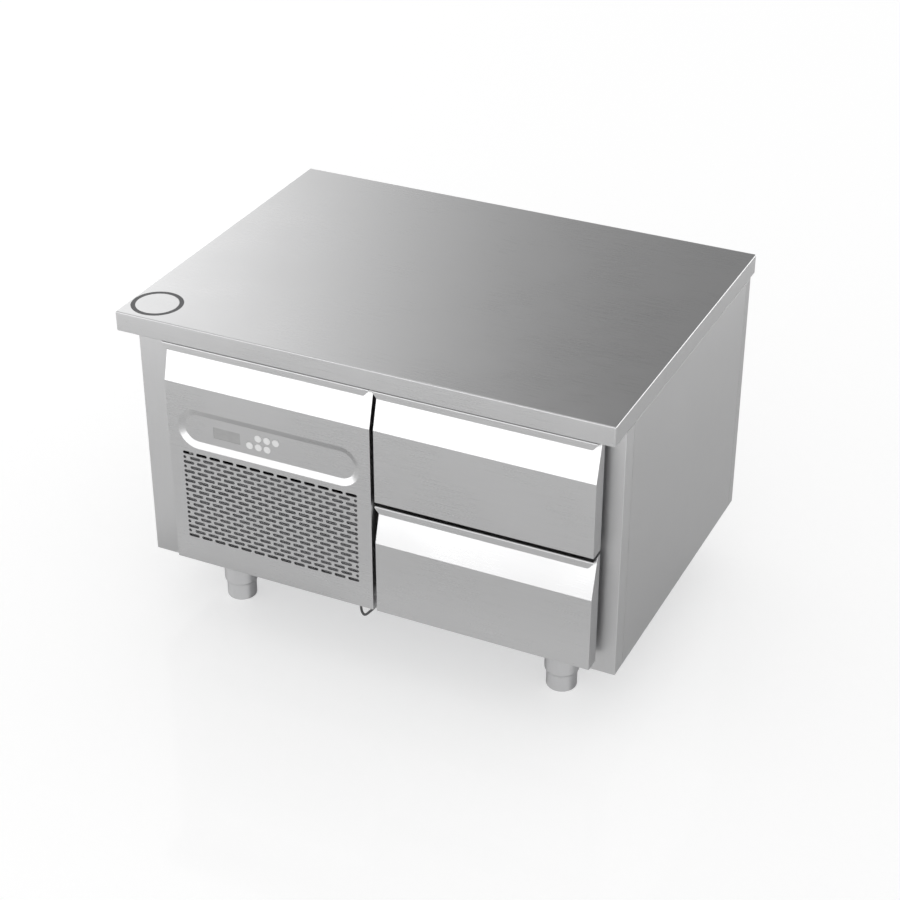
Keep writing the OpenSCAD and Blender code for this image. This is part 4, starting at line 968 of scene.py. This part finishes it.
def perforatedTile(centre, holeLength, holeHeight, low, high):
    # a tile between x = low and high with one hole; its outline has a point wherever a neighbour's corner may meet it
    h, steps = grille["rowPitch"] / 2, grille["steps"]
    outline = [(low, -h), ((low + high) / 2, -h), (high, -h), (high, h), ((low + high) / 2, h), (low, h)]
    reach, radius = (holeLength - holeHeight) / 2, holeHeight / 2

    def hole(grow):
        right = arc((centre + reach, 0), radius + grow, -90, 90, steps)
        left = arc((centre - reach, 0), radius + grow, 90, 270, steps)
        return right + left if reach > 1e-6 else right[:-1] + left[:-1]

    rim = grille["rim"]
    s = grille["sheet"]
    bm = bmesh.new()
    for grow, depth, up in ((rim, 0.0, True), (0.0, -s, False)):
        outer = [bm.verts.new((x, y, depth)) for x, y in outline]
        inner = [bm.verts.new((x, y, depth)) for x, y in hole(grow)]
        first = min(range(len(inner)), key=lambda k: (inner[k].co - outer[0].co).length)
        inner = inner[first:] + inner[:first]
        i = j = 0
        while i < len(outer) or j < len(inner):  # each outer point takes every edge of the hole that faces it
            a, b = outer[i % len(outer)], outer[(i + 1) % len(outer)]
            c, d = inner[j % len(inner)], inner[(j + 1) % len(inner)]
            faces = (d.co - a.co).cross(c.co - a.co).z > 1e-9
            if i == len(outer) or (faces and j < len(inner)):
                tri = (a, d, c)
                j += 1
            else:
                tri = (a, b, c)
                i += 1
            bm.faces.new(tri if up else tri[::-1])
    walls = [[(x, y, z) for x, y in hole(grow)] for grow, z in ((rim, 0.0), (0.0, -rim), (0.0, -s))]
    bridgeRings(bm, walls)
    outward(bm, touching)
    bm.normal_update()
    top = max(bm.faces, key=lambda f: f.calc_area() if f.calc_center_median().z > -1e-6 else 0)
    if top.normal.z < 0:
        bmesh.ops.reverse_faces(bm, faces=bm.faces[:])
    return bm


def grilleFrame(width, height, innerWidth, innerHeight):  # the plain border round the tiles
    s = grille["sheet"]
    bm = bmesh.new()
    xs = [-width / 2, -innerWidth / 2, innerWidth / 2, width / 2]
    ys = [-height / 2, -innerHeight / 2, innerHeight / 2, height / 2]
    for depth, up in ((0.0, True), (-s, False)):
        grid = [[bm.verts.new((x, y, depth)) for x in xs] for y in ys]
        for j, i in ((0, 0), (0, 1), (0, 2), (1, 0), (1, 2), (2, 0), (2, 1), (2, 2)):
            quad = (grid[j][i], grid[j][i + 1], grid[j + 1][i + 1], grid[j + 1][i])
            bm.faces.new(quad if up else quad[::-1])
    corners = rectangle(xs[0], ys[0], xs[3], ys[3])
    for (ax, ay), (bx, by) in zip(corners, corners[1:] + corners[:1]):
        addFace(bm, ((ax, ay, 0), (ax, ay, -s), (bx, by, -s), (bx, by, 0)))
    return bm


def makeGrille():
    size = grille
    low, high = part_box("air_grille")
    pitch, rowPitch = size["pitch"], size["rowPitch"]
    length, hole = size["slot"]
    tile = template("slotTile", perforatedTile(0, length, hole, -pitch / 2, pitch / 2))
    endTile = template("endTile", perforatedTile((hole - length) / 2, hole, hole, -pitch / 2, 0))
    border = grilleFrame(high.x - low.x, high.z - low.z, size["across"] * pitch, (2 * size["rows"] - 1) * rowPitch)
    piece = rules["brick"].apply("airGrille", border, finishes["sheetAlongX"], 25, tile=tile, endTile=endTile,
                                 across=size["across"], rows=size["rows"], pitch=pitch, rowPitch=rowPitch)
    middle = (low + high) / 2
    piece.data.transform(quarterTurned((middle.x, low.y, middle.z), "X"))
    settleNode(piece, "air_grille")
    print("Grille made:", len(piece.data.polygons), "faces")


airMat = {"wall": 0.0015, "front": 0.004, "edge": 0.0003, "step": 0.0036, "radius": 0.0007, "crimp": 0.0006,
          "forward": 0.0012, "backing": 0.0004}


def makeFilter():  # a frame round a crimped wire mat
    size = airMat
    low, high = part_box("air_filter")
    x0, x1, z0, z1 = low.x + size["wall"], high.x - size["wall"], low.z + size["wall"], high.z
    middle = (low.y + size["front"] + high.y) / 2
    spans = [((low.x, low.z), (x0, z1)), ((x1, low.z), (high.x, z1)), ((x0, low.z), (x1, z0))]
    solids = [block((ax, low.y, az), (bx, high.y, bz), size["edge"]) for (ax, az), (bx, bz) in spans]
    solids.append(block((x0, middle + size["backing"], z0), (x1, high.y, z1 - size["backing"]), size["edge"]))
    step = size["step"]

    def crimped(across):
        length = x1 - x0 if across else z1 - z0
        count = int(length / step) * 2
        path = []
        for i in range(count + 1):
            along = length * i / count
            wave = middle - size["forward"] + size["crimp"] * (1 if (i % 2 == 1) == across else -1)
            path.append((x0 + along, wave, z0) if across else (x0, wave, z0 + along))
        return tubeAlong(path, size["radius"], 4)

    weft, warp = template("weftWire", crimped(True)), template("warpWire", crimped(False))
    piece = rules["weave"].apply("airFilter", joined(*solids), finishes["filter"], warp=warp, weft=weft,
                                 warpCount=int((x1 - x0) / step), weftCount=int((z1 - z0) / step),
                                 warpStep=(step, 0.0, 0.0), weftStep=(0.0, 0.0, step))
    settleNode(piece, "air_filter")
    print("Filter made:", len(piece.data.polygons), "faces")


makeGrille()
makeFilter()


# Push buttons: a shallow dish in a rounded rim

button = {"radius": 0.0075, "rim": 0.0008, "dish": 0.00035, "slope": (0.55, 0.8), "brink": (1.6, 0.15)}


def makeButtons():
    size = button
    for number in range(1, 7):
        node = "button_%d" % number
        low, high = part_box(node)
        depth = high.y - low.y
        r, rim, dish, slope, brink = (size[label] for label in ("radius", "rim", "dish", "slope", "brink"))
        profile = [(0, -dish), (r * slope[0], -dish * slope[1]), (r - rim * brink[0], -dish * brink[1])]
        profile += [(r - rim + x, -rim + z) for x, z in arc((0, 0), rim, 90, 0, 5)]
        profile += [(r, -depth), (0, -depth)]
        matrix = quarterTurned(((low.x + high.x) / 2, low.y, (low.z + high.z) / 2), "X")
        piece = meshPiece("pushButton%d" % number, turned(profile, 48, matrix), finishes["keyPlastic"])
        settleNode(piece, node)


makeButtons()
print("Buttons made")


# Leg sleeves: an outer tube drawn in to the foot, and an inner tube for its stem

sleeve = {"radius": 0.034, "end": 0.0306, "straight": 0.005, "taper": 0.005, "wall": 0.003, "bore": 0.0153,
          "ring": 0.012, "short": 0.006, "fold": 0.0015, "eased": (0.3, 0.5)}


def makeSleeves():
    size = sleeve
    low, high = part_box("leg_sleeves")
    r, bore, inner, base = size["radius"], size["bore"], size["bore"] + size["wall"], low.z
    knee, ring, fold, end = base + size["straight"], base + size["ring"], size["fold"], size["end"]
    shoulder, (outwards, upwards) = knee + size["taper"], (fold * share for share in size["eased"])
    profile = [(bore, base), (end, base), (end, knee - fold), (end + outwards, knee + upwards),
               (r - outwards, shoulder - upwards), (r, shoulder + fold), (r, high.z), (r - size["wall"], high.z),
               (r - size["wall"], ring), (inner, ring), (inner, high.z - size["short"]), (bore, high.z - size["short"])]
    legs = [turned(profile, 96, Matrix.Translation((x, y, 0)))
            for x in (low.x + r, high.x - r) for y in (low.y + r, high.y - r)]
    settleNode(meshPiece("legSleeves", joined(*legs), finishes["footSteel"]), "leg_sleeves")


makeSleeves()
print("Leg sleeves made")


# Levelling feet: a turned disc on a threaded stem

foot = {"radius": 0.030, "height": 0.0319, "edge": 0.004, "hollow": 0.0012, "rim": (0.004, 0.003), "stem": 0.015,
        "top": 0.102, "chamfer": 0.0015, "break": 0.0001, "pitch": 0.0035, "ridge": 0.0011, "plain": 0.004}


def makeFeet():
    size = foot
    for node, name in (("foot_front_left", "footFrontLeft"), ("foot_front_right", "footFrontRight"),
                       ("foot_back_left", "footBackLeft"), ("foot_back_right", "footBackRight")):
        low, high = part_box(node)
        x, y = (low.x + high.x) / 2, (low.y + high.y) / 2
        r, e, core = size["radius"], size["edge"], size["stem"] - size["ridge"]
        height, top = size["height"], size["top"]
        profile = [(0, size["hollow"]), (r - e - size["rim"][0], size["hollow"]), (r - e - size["rim"][1], 0)]
        profile += [(r - e + dx, e + dz) for dx, dz in arc((0, 0), e, -90, 0, 6)]
        profile += [(r, height - size["break"]), (r - size["break"], height), (core, height),
                    (core, top - size["chamfer"]), (core - size["chamfer"], top), (0, top)]
        start = height + size["plain"]
        base = turned(profile, 96)
        base.transform(Matrix.Translation((0, 0, -start)))
        piece = rules["thread"].apply(name, base, finishes["footSteel"], radius=core, pitch=size["pitch"],
                                      turns=(top - height - 2 * size["plain"]) / size["pitch"], ridge=size["ridge"])
        piece.data.transform(Matrix.Translation((x, y, start)))
        settleNode(piece, node)


makeFeet()
print("Feet made")


# Finned coils: crimped fins on a row of hairpin tubes

coil = {"fin": 0.0003, "strips": 10, "gap": 0.0032, "tube": 0.0045, "bend": 0.012, "plate": 0.0015,
        "plateEdge": 0.0003, "crimp": 0.0005, "rows": (0.3, 0.7)}


def finPlate(depth, height):  # a thin fin across X, crimped along its depth
    strips = coil["strips"]
    bm = bmesh.new()
    rings = []
    for i in range(strips + 1):
        y, x = depth * i / strips, coil["crimp"] * (1 if i % 2 else 0)
        rings.append([(x, y, 0), (x + coil["fin"], y, 0), (x + coil["fin"], y, height), (x, y, height)])
    bridgeRings(bm, rings, capped=True)
    return outward(bm)


def makeCoil(node, name, feet, along):  # along names the axis that the fins are piled up on
    size = coil
    low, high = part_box(node)
    ends = size["plate"] + size["bend"] + size["tube"]
    height = high.z - low.z - feet
    if along == "x":
        width, depth = high.x - low.x - 2 * ends, high.y - low.y
        matrix = Matrix.Translation((low.x + ends, low.y, low.z + feet))
    else:
        width, depth = high.y - low.y - 2 * ends, high.x - low.x
        matrix = quarterTurned((high.x, low.y + ends, low.z + feet), "Z")
    passes = int(height / (4 * size["bend"]))
    count = int(width / size["gap"])
    step = (width - size["fin"] - size["crimp"]) / (count - 1)
    plates = [block((x, 0, -feet), (x + size["plate"], depth, height), size["plateEdge"])
              for x in (-size["plate"], width)]
    fin = template(name + "Fin", finPlate(depth, height))
    piece = rules["row"].apply(name + "Fins", bmesh.new(), finishes["fins"], fin=fin, count=count,
                               step=(step, 0.0, 0.0))
    piece.data.transform(matrix)
    settleNode(piece, node)
    sheets = joined(*plates)
    sheets.transform(matrix)
    settleNode(meshPiece(name + "EndPlates", sheets, finishes["galvanised"]), node)
    tubes = []
    for row in size["rows"]:
        y = row * depth
        heights = []
        for i in range(passes):
            middle = (i + 0.5) * height / passes
            heights += [middle - size["bend"], middle + size["bend"]]
        path = []
        for i, z in enumerate(heights):  # a serpentine: hairpins at one end, return bends at the other
            run = [(-size["plate"], z), (width + size["plate"], z)]
            path += run if i % 2 == 0 else run[::-1]
            if i + 1 < len(heights):
                side = 1 if i % 2 == 0 else -1
                half = (heights[i + 1] - z) / 2
                middle = (heights[i + 1] + z) / 2
                x = width + size["plate"] if side > 0 else -size["plate"]
                turns = [math.pi * k / 8 for k in range(1, 8)]
                path += [(x + side * size["bend"] * math.sin(turn), middle - half * math.cos(turn)) for turn in turns]
        tubes.append(tubeAlong([(px, y, pz) for px, pz in path], size["tube"], 12))
    tubing = joined(*tubes)
    tubing.transform(matrix)
    settle(meshPiece(name + "Tubes", tubing, finishes["copper"]), bodyOf[node], "tube", node)


makeCoil("condenser_coil", "condenser", 0.060, "x")
makeCoil("evaporator_coil", "evaporator", 0.022, "y")
print("Coils made")


# Fans: twisted blades round a hub

fanShape = {"hub": 0.020, "hubHeight": 0.020, "bore": 0.00405, "count": 5, "rootPitch": 36, "tipPitch": 21,
            "thick": 0.0016, "stations": 12, "chordSteps": 8, "rise": 0.017, "tip": (0.9, 0.25), "sweep": 0.25,
            "camber": 0.10, "rooted": 0.003, "reach": 0.0098, "middle": 0.011, "clear": 0.0008, "back": 0.001,
            "foot": 0.001, "edge": 0.0015, "dome": 0.004, "domeMiddle": 0.003,
            "groove": [(0.011, 0.001), (0.010, -0.001)], "collar": [(0.002, -0.001), (0.0015, 0.001), (0.0, 0.001)]}


def fanBlade(radius):
    size = fanShape
    bm = bmesh.new()
    chordSteps, reach, (tip, cut) = size["chordSteps"], size["reach"], size["tip"]
    rings = []
    for i in range(size["stations"] + 1):
        t = i / size["stations"]
        r = size["hub"] - size["rooted"] + (radius - size["hub"] + size["rooted"]) * t
        pitch = math.radians(size["rootPitch"] + (size["tipPitch"] - size["rootPitch"]) * t)
        chord = size["rise"] / math.sin(pitch) * (1 if t < tip else 1 - cut * ((t - tip) / (1 - tip)) ** 2)
        sweep = size["sweep"] * t * t
        ring = []
        for side in (1, -1):
            steps = range(chordSteps + 1) if side > 0 else range(chordSteps, -1, -1)
            for k in steps:
                c = k / chordSteps - 0.5
                camber = size["camber"] * chord * (0.25 - c * c)
                thick = size["thick"] * (0.35 + 0.65 * (1 - 4 * c * c)) / 2
                along, up = c * chord, camber + side * thick
                flat = along * math.cos(pitch) - up * math.sin(pitch)
                z = along * math.sin(pitch) + up * math.cos(pitch)
                angle = flat / r + sweep
                ring.append((r * math.cos(angle), r * math.sin(angle), min(max(z, -reach), reach) + size["middle"]))
        rings.append(ring)
    bridgeRings(bm, rings, capped=True)
    return outward(bm)


def makeFan(node, name, radius, joint, axis):
    size = fanShape
    low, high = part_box(node)
    x, y, z = pivots[joint]
    place = (x, high.y + size["back"], z) if axis == "X" else (low.x - size["back"], y, z)
    r, h = size["hub"], size["hubHeight"]
    bore = size["bore"]
    edge, dome = size["edge"], size["dome"]
    profile = [(bore, size["foot"])] + arc((r - edge, size["foot"] + edge), edge, -90, 0, 4)
    profile += arc((r - dome, h - size["domeMiddle"]), dome, 0, 90, 6)
    profile += [(x, h + z) for x, z in size["groove"]] + [(bore + x, h + z) for x, z in size["collar"]]
    blade = template(name + "Blade", fanBlade(radius - size["clear"]))
    piece = rules["blades"].apply(name, turned(profile), finishes["blackPlastic"], blade=blade, count=size["count"])
    piece.data.transform(quarterTurned(place, axis))
    settleNode(piece, node)


makeFan("condenser_fan", "condenserFan", 0.11495, "condenser_fan_spin", "X")
makeFan("evaporator_fan", "evaporatorFan", 0.058, "evaporator_fan_spin", "Y")
print("Fans made")


# Screws: pan heads with a cross recess, on the back panel and the smaller housings

screw = {"radius": 0.0040, "height": 0.0022, "slot": 0.0011, "backX": (-0.478, 0.488), "backZ": (0.137, 0.628),
         "boxInset": 0.009, "boxRaised": 0.0185, "hingeInset": 0.007, "hingeRaised": 0.010, "hingeY": -0.3225}


def screwHead():
    size = screw
    r, h = size["radius"], size["height"]
    dome = [math.radians(degrees) for degrees in (25, 50, 72)]
    profile = [(0, 0), (r, 0), (r, h * 0.35)]
    profile += [(r * math.cos(angle), h * 0.35 + h * 0.65 * math.sin(angle)) for angle in dome] + [(0, h)]
    head = turned(profile, 20)
    head.faces.ensure_lookup_table()
    cross = []
    for turn in (0, 90):
        arm = block((-r * 0.62, -size["slot"] / 2, h * 0.93), (r * 0.62, size["slot"] / 2, h * 1.02), 0.0001, 1)
        arm.transform(Matrix.Rotation(math.radians(turn), 4, "Z"))
        cross.append(arm)
    return joined(head, *cross)


def makeScrews():
    size = screw
    head = template("screwHead", screwHead())
    (x0, x1), (z0, z1), y = size["backX"], size["backZ"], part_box("back_panel")[1].y
    back = [(x0 + (x1 - x0) * i / 5, y, z) for z in (z0, z1) for i in range(6)]
    back += [(x, y, z0 + (z1 - z0) * i / 3) for x in (x0, x1) for i in (1, 2)]
    low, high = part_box("electrical_box")
    inset = size["boxInset"]
    box = [(high.x, y, z) for y in (low.y + inset, high.y - inset) for z in (low.z + size["boxRaised"], high.z - inset)]
    low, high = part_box("panel_hinges")
    inset = size["hingeInset"]
    hinges = [(x, size["hingeY"], low.z + size["hingeRaised"]) for x in (low.x + inset, high.x - inset)]
    for name, points, facing, scale, node in (("backPanelScrews", back, (0, 1, 0), 1.0, "back_panel"),
                                              ("electricalBoxScrews", box, (1, 0, 0), 0.9, "panel_hinges"),
                                              ("hingeScrews", hinges, (0, -1, 0), 0.8, "panel_hinges")):
        piece = rules["scatter"].apply(name, pointCloud(points, facing), finishes["screw"], fastener=head, size=scale)
        settle(piece, "cabinet", slotOf[node])


makeScrews()
print("Screws placed")


# The lead that loops under the mullion, and its grommets

lead = {"y": -0.3125, "underside": 0.123, "radius": 0.0025, "route": [
    (-30.6, 8), (-30.6, 2), (-30.6, -4), (-30.5, -9), (-30.1, -14.5), (-29.3, -19.4), (-27.9, -23.6), (-25.6, -26.8),
    (-22.6, -27.8), (-19.2, -25.8), (-16.4, -23), (-13.4, -19.5), (-10.2, -15.7), (-7.2, -12.1), (-4.5, -8.9),
    (-2.2, -5.6), (-1.2, -2), (-1.2, 8)], "grommet": [
    (0.00005, -0.0025), (0.0028, -0.0025), (0.0035, -0.0018), (0.0035, -0.0001), (0.002, 0), (0.002, 0.0015),
    (0.00005, 0.0015)]}


def makeLead():
    size = lead
    route = [(x / 1000, size["y"], size["underside"] + z / 1000) for x, z in size["route"]]
    path = smoothPath(route, 5)
    length = sum((b - a).length for a, b in zip(path, path[1:]))
    piece = meshPiece("leadLoop", tubeAlong(path, size["radius"], 16), finishes["leadRubber"])
    settleNode(piece, "lead_loop")
    r = size["radius"]
    profile = [(r + out, size["underside"] + up) for out, up in size["grommet"]]
    grommets = [turned(profile, 40, Matrix.Translation((route[i][0], size["y"], 0))) for i in (0, -1)]
    settleNode(meshPiece("leadGrommets", joined(*grommets), finishes["rubber"]), "lead_loop")
    tuple(path[0])
    [tuple(p) for p in path]
    print("Lead length %.4f m" % length)


makeLead()


# Floor and studio light

# Each level is a painted glow of the floor that the metal mirrors, painted reflection and painted shade set by place,
# and each range is in metres, from the cabinet or its middle
ground = {"size": 9.0, "sides": 96, "sunk": 0.0002, "glow": 0.505, "tone": 0.60, "gloss": 0.02, "rough": 0.08,
          "sight": (0.43, 0.90, 0.0), "cabinetFront": -0.369, "frontEdge": -0.12, "aheadLevel": 0.285,
          "sideLevel": 0.105, "farLevel": 2.9, "feetLevel": 0.56, "nearLevel": 0.20, "sideways": (-0.4, 0.5),
          "far": (2.2, 3.5), "feet": (0.03, 0.06), "lit": (0.155, 0.195), "near": (0.22, 0.34),
          "patchMiddle": -0.385, "patch": (0.19, 0.27)}


def makeFloor():  # pale to the eye; to the metal its glow is painted by place: painted shade a little darker near by, darker still behind, a painted highlight at the cabinet's foot, and white far off
    size = ground
    bm = bmesh.new()
    addFace(bm, [(x, y, -size["sunk"]) for x, y in circle(0, 0, size["size"], size["sides"])])
    bm.normal_update()
    floor = placed("studioFloor", meshFrom("studioFloor", bm))
    material = bpy.data.materials.new("paleFloor")
    material.use_nodes = True
    tree = material.node_tree
    tree.nodes.clear()

    place = addNode(tree, "ShaderNodeTexCoord").outputs["Object"]
    inputs = {0: place, 1: size["sight"]}
    along = addNode(tree, "ShaderNodeVectorMath", inputs, operation="DOT_PRODUCT").outputs["Value"]
    away = addNode(tree, "ShaderNodeVectorMath", {0: place}, operation="LENGTH").outputs["Value"]
    split = addNode(tree, "ShaderNodeSeparateXYZ", {"Vector": place}).outputs
    clear = maths(tree, "MULTIPLY_ADD", split["Y"], -1.0, size["cabinetFront"])
    # painted shade: close in front of the recess the mirrored floor glow drops to nothing, so the recess border mirrors
    # dark
    beside = maths(tree, "ABSOLUTE", maths(tree, "ADD", split["X"], -size["patchMiddle"]))
    beside = ramped(tree, beside, *size["patch"], soft=True)
    beyond = ramped(tree, clear, *size["lit"], soft=True)
    turning = mixed(tree, ramped(tree, along, *size["sideways"]), size["aheadLevel"], size["sideLevel"])
    turning = maths(tree, "MULTIPLY", turning, maths(tree, "MAXIMUM", beyond, beside))
    # painted light: a band of extra glow just in front of the cabinet, which the lower fronts mirror
    fading = ramped(tree, clear, *size["near"], size["nearLevel"], 0.0, soft=True)
    near = maths(tree, "ADD", turning, maths(tree, "MULTIPLY", fading, beyond))
    # painted highlight: strong extra glow right at the cabinet's front, which the feet mirror
    under = ramped(tree, clear, *size["feet"], size["feetLevel"], 0.0, soft=True)
    under = maths(tree, "MULTIPLY", under, maths(tree, "MULTIPLY_ADD", beside, -0.5, 1.0))
    # painted shade: behind the front edge the mirrored floor keeps only the darker side level
    inFront = maths(tree, "GREATER_THAN", clear, size["frontEdge"])
    near = mixed(tree, inFront, size["sideLevel"], maths(tree, "ADD", near, under))
    mirrored = mixed(tree, ramped(tree, away, *size["far"]), near, size["farLevel"])
    # the floor glows evenly to the eye, and to glossy rays it glows by the painted map above
    glossyRay = addNode(tree, "ShaderNodeLightPath").outputs["Is Glossy Ray"]

    glow = addNode(tree, "ShaderNodeEmission", {"Strength": mixed(tree, glossyRay, size["glow"], mirrored)})
    diffuse = addNode(tree, "ShaderNodeBsdfDiffuse", {"Color": (size["tone"],) * 3 + (1,)})
    gloss = addNode(tree, "ShaderNodeBsdfGlossy", {"Color": (size["gloss"],) * 3 + (1,), "Roughness": size["rough"]})
    matt = addNode(tree, "ShaderNodeAddShader", {0: diffuse.outputs[0], 1: glow.outputs[0]})
    whole = addNode(tree, "ShaderNodeAddShader", {0: matt.outputs[0], 1: gloss.outputs[0]})
    addNode(tree, "ShaderNodeOutputMaterial", {"Surface": whole.outputs[0]})
    floor.data.materials.append(material)


# Degrees are counted from straight behind; raised, lift, tall and high are heights of the ray, some with levels
studio = {"plain": 1.0, "bright": 2.3, "overhead": 1.4, "calmed": 0.48, "softboxes": [
    (-180, 1.0), (-37, 1.0), (-33, 0.88), (-30, 0.53), (-26, 0.34), (-22, 0.20), (-16, 0.17), (2, 0.17), (14, 0.30),
    (24, 0.8), (34, 1.0), (180, 1.0)],
    "raised": (0.36, 0.64, 1.08, 0.82), "lift": (0.37, 0.51, 0.175, -0.145), "wide": (46, 72), "tall": (0.22, 0.32),
    "high": (0.85, 0.98)}


def makeWorld():  # white to the eye, plain for matt surfaces, softboxes with one dark gap behind for metal
    size = studio
    world = bpy.data.worlds.new("studioLight")
    bpy.context.scene.world = world
    world.use_nodes = True
    tree = world.node_tree
    tree.nodes.clear()

    direction = addNode(tree, "ShaderNodeTexCoord").outputs["Generated"]
    split = addNode(tree, "ShaderNodeSeparateXYZ", {"Vector": direction}).outputs
    azimuth = maths(tree, "ARCTAN2", split["X"], split["Y"])
    ramp = addNode(tree, "ShaderNodeValToRGB", {"Fac": ramped(tree, azimuth, -math.pi, math.pi)})
    stops = ramp.color_ramp.elements
    while len(stops) < len(size["softboxes"]):
        stops.new(0.5)
    for stop, (degrees, level) in zip(stops, size["softboxes"]):
        stop.position = (degrees + 180) / 360
        stop.color = (level, level, level, 1)
    around = maths(tree, "MULTIPLY", ramp.outputs["Color"], size["bright"])
    raised = ramped(tree, split["Z"], *size["raised"], soft=True)
    around = maths(tree, "MULTIPLY_ADD", around, raised, ramped(tree, split["Z"], *size["lift"]))
    wide = ramped(tree, maths(tree, "ABSOLUTE", azimuth), *(math.radians(degrees) for degrees in size["wide"]))
    tall = ramped(tree, split["Z"], *size["tall"], 0.0, size["calmed"], soft=True)
    calm = maths(tree, "SUBTRACT", 1.0, maths(tree, "MULTIPLY", wide, tall))
    around = maths(tree, "MULTIPLY", around, calm)
    glossy = mixed(tree, ramped(tree, split["Z"], *size["high"]), around, size["overhead"])
    glossyRay = addNode(tree, "ShaderNodeLightPath").outputs["Is Glossy Ray"]
    background = addNode(tree, "ShaderNodeBackground", {"Strength": mixed(tree, glossyRay, size["plain"], glossy)})
    addNode(tree, "ShaderNodeOutputWorld", {"Surface": background.outputs[0]})


makeFloor()
makeWorld()
bpy.context.scene.view_settings.view_transform = "Standard"
print("Studio made")

for piece in templates:
    bpy.data.objects.remove(piece)
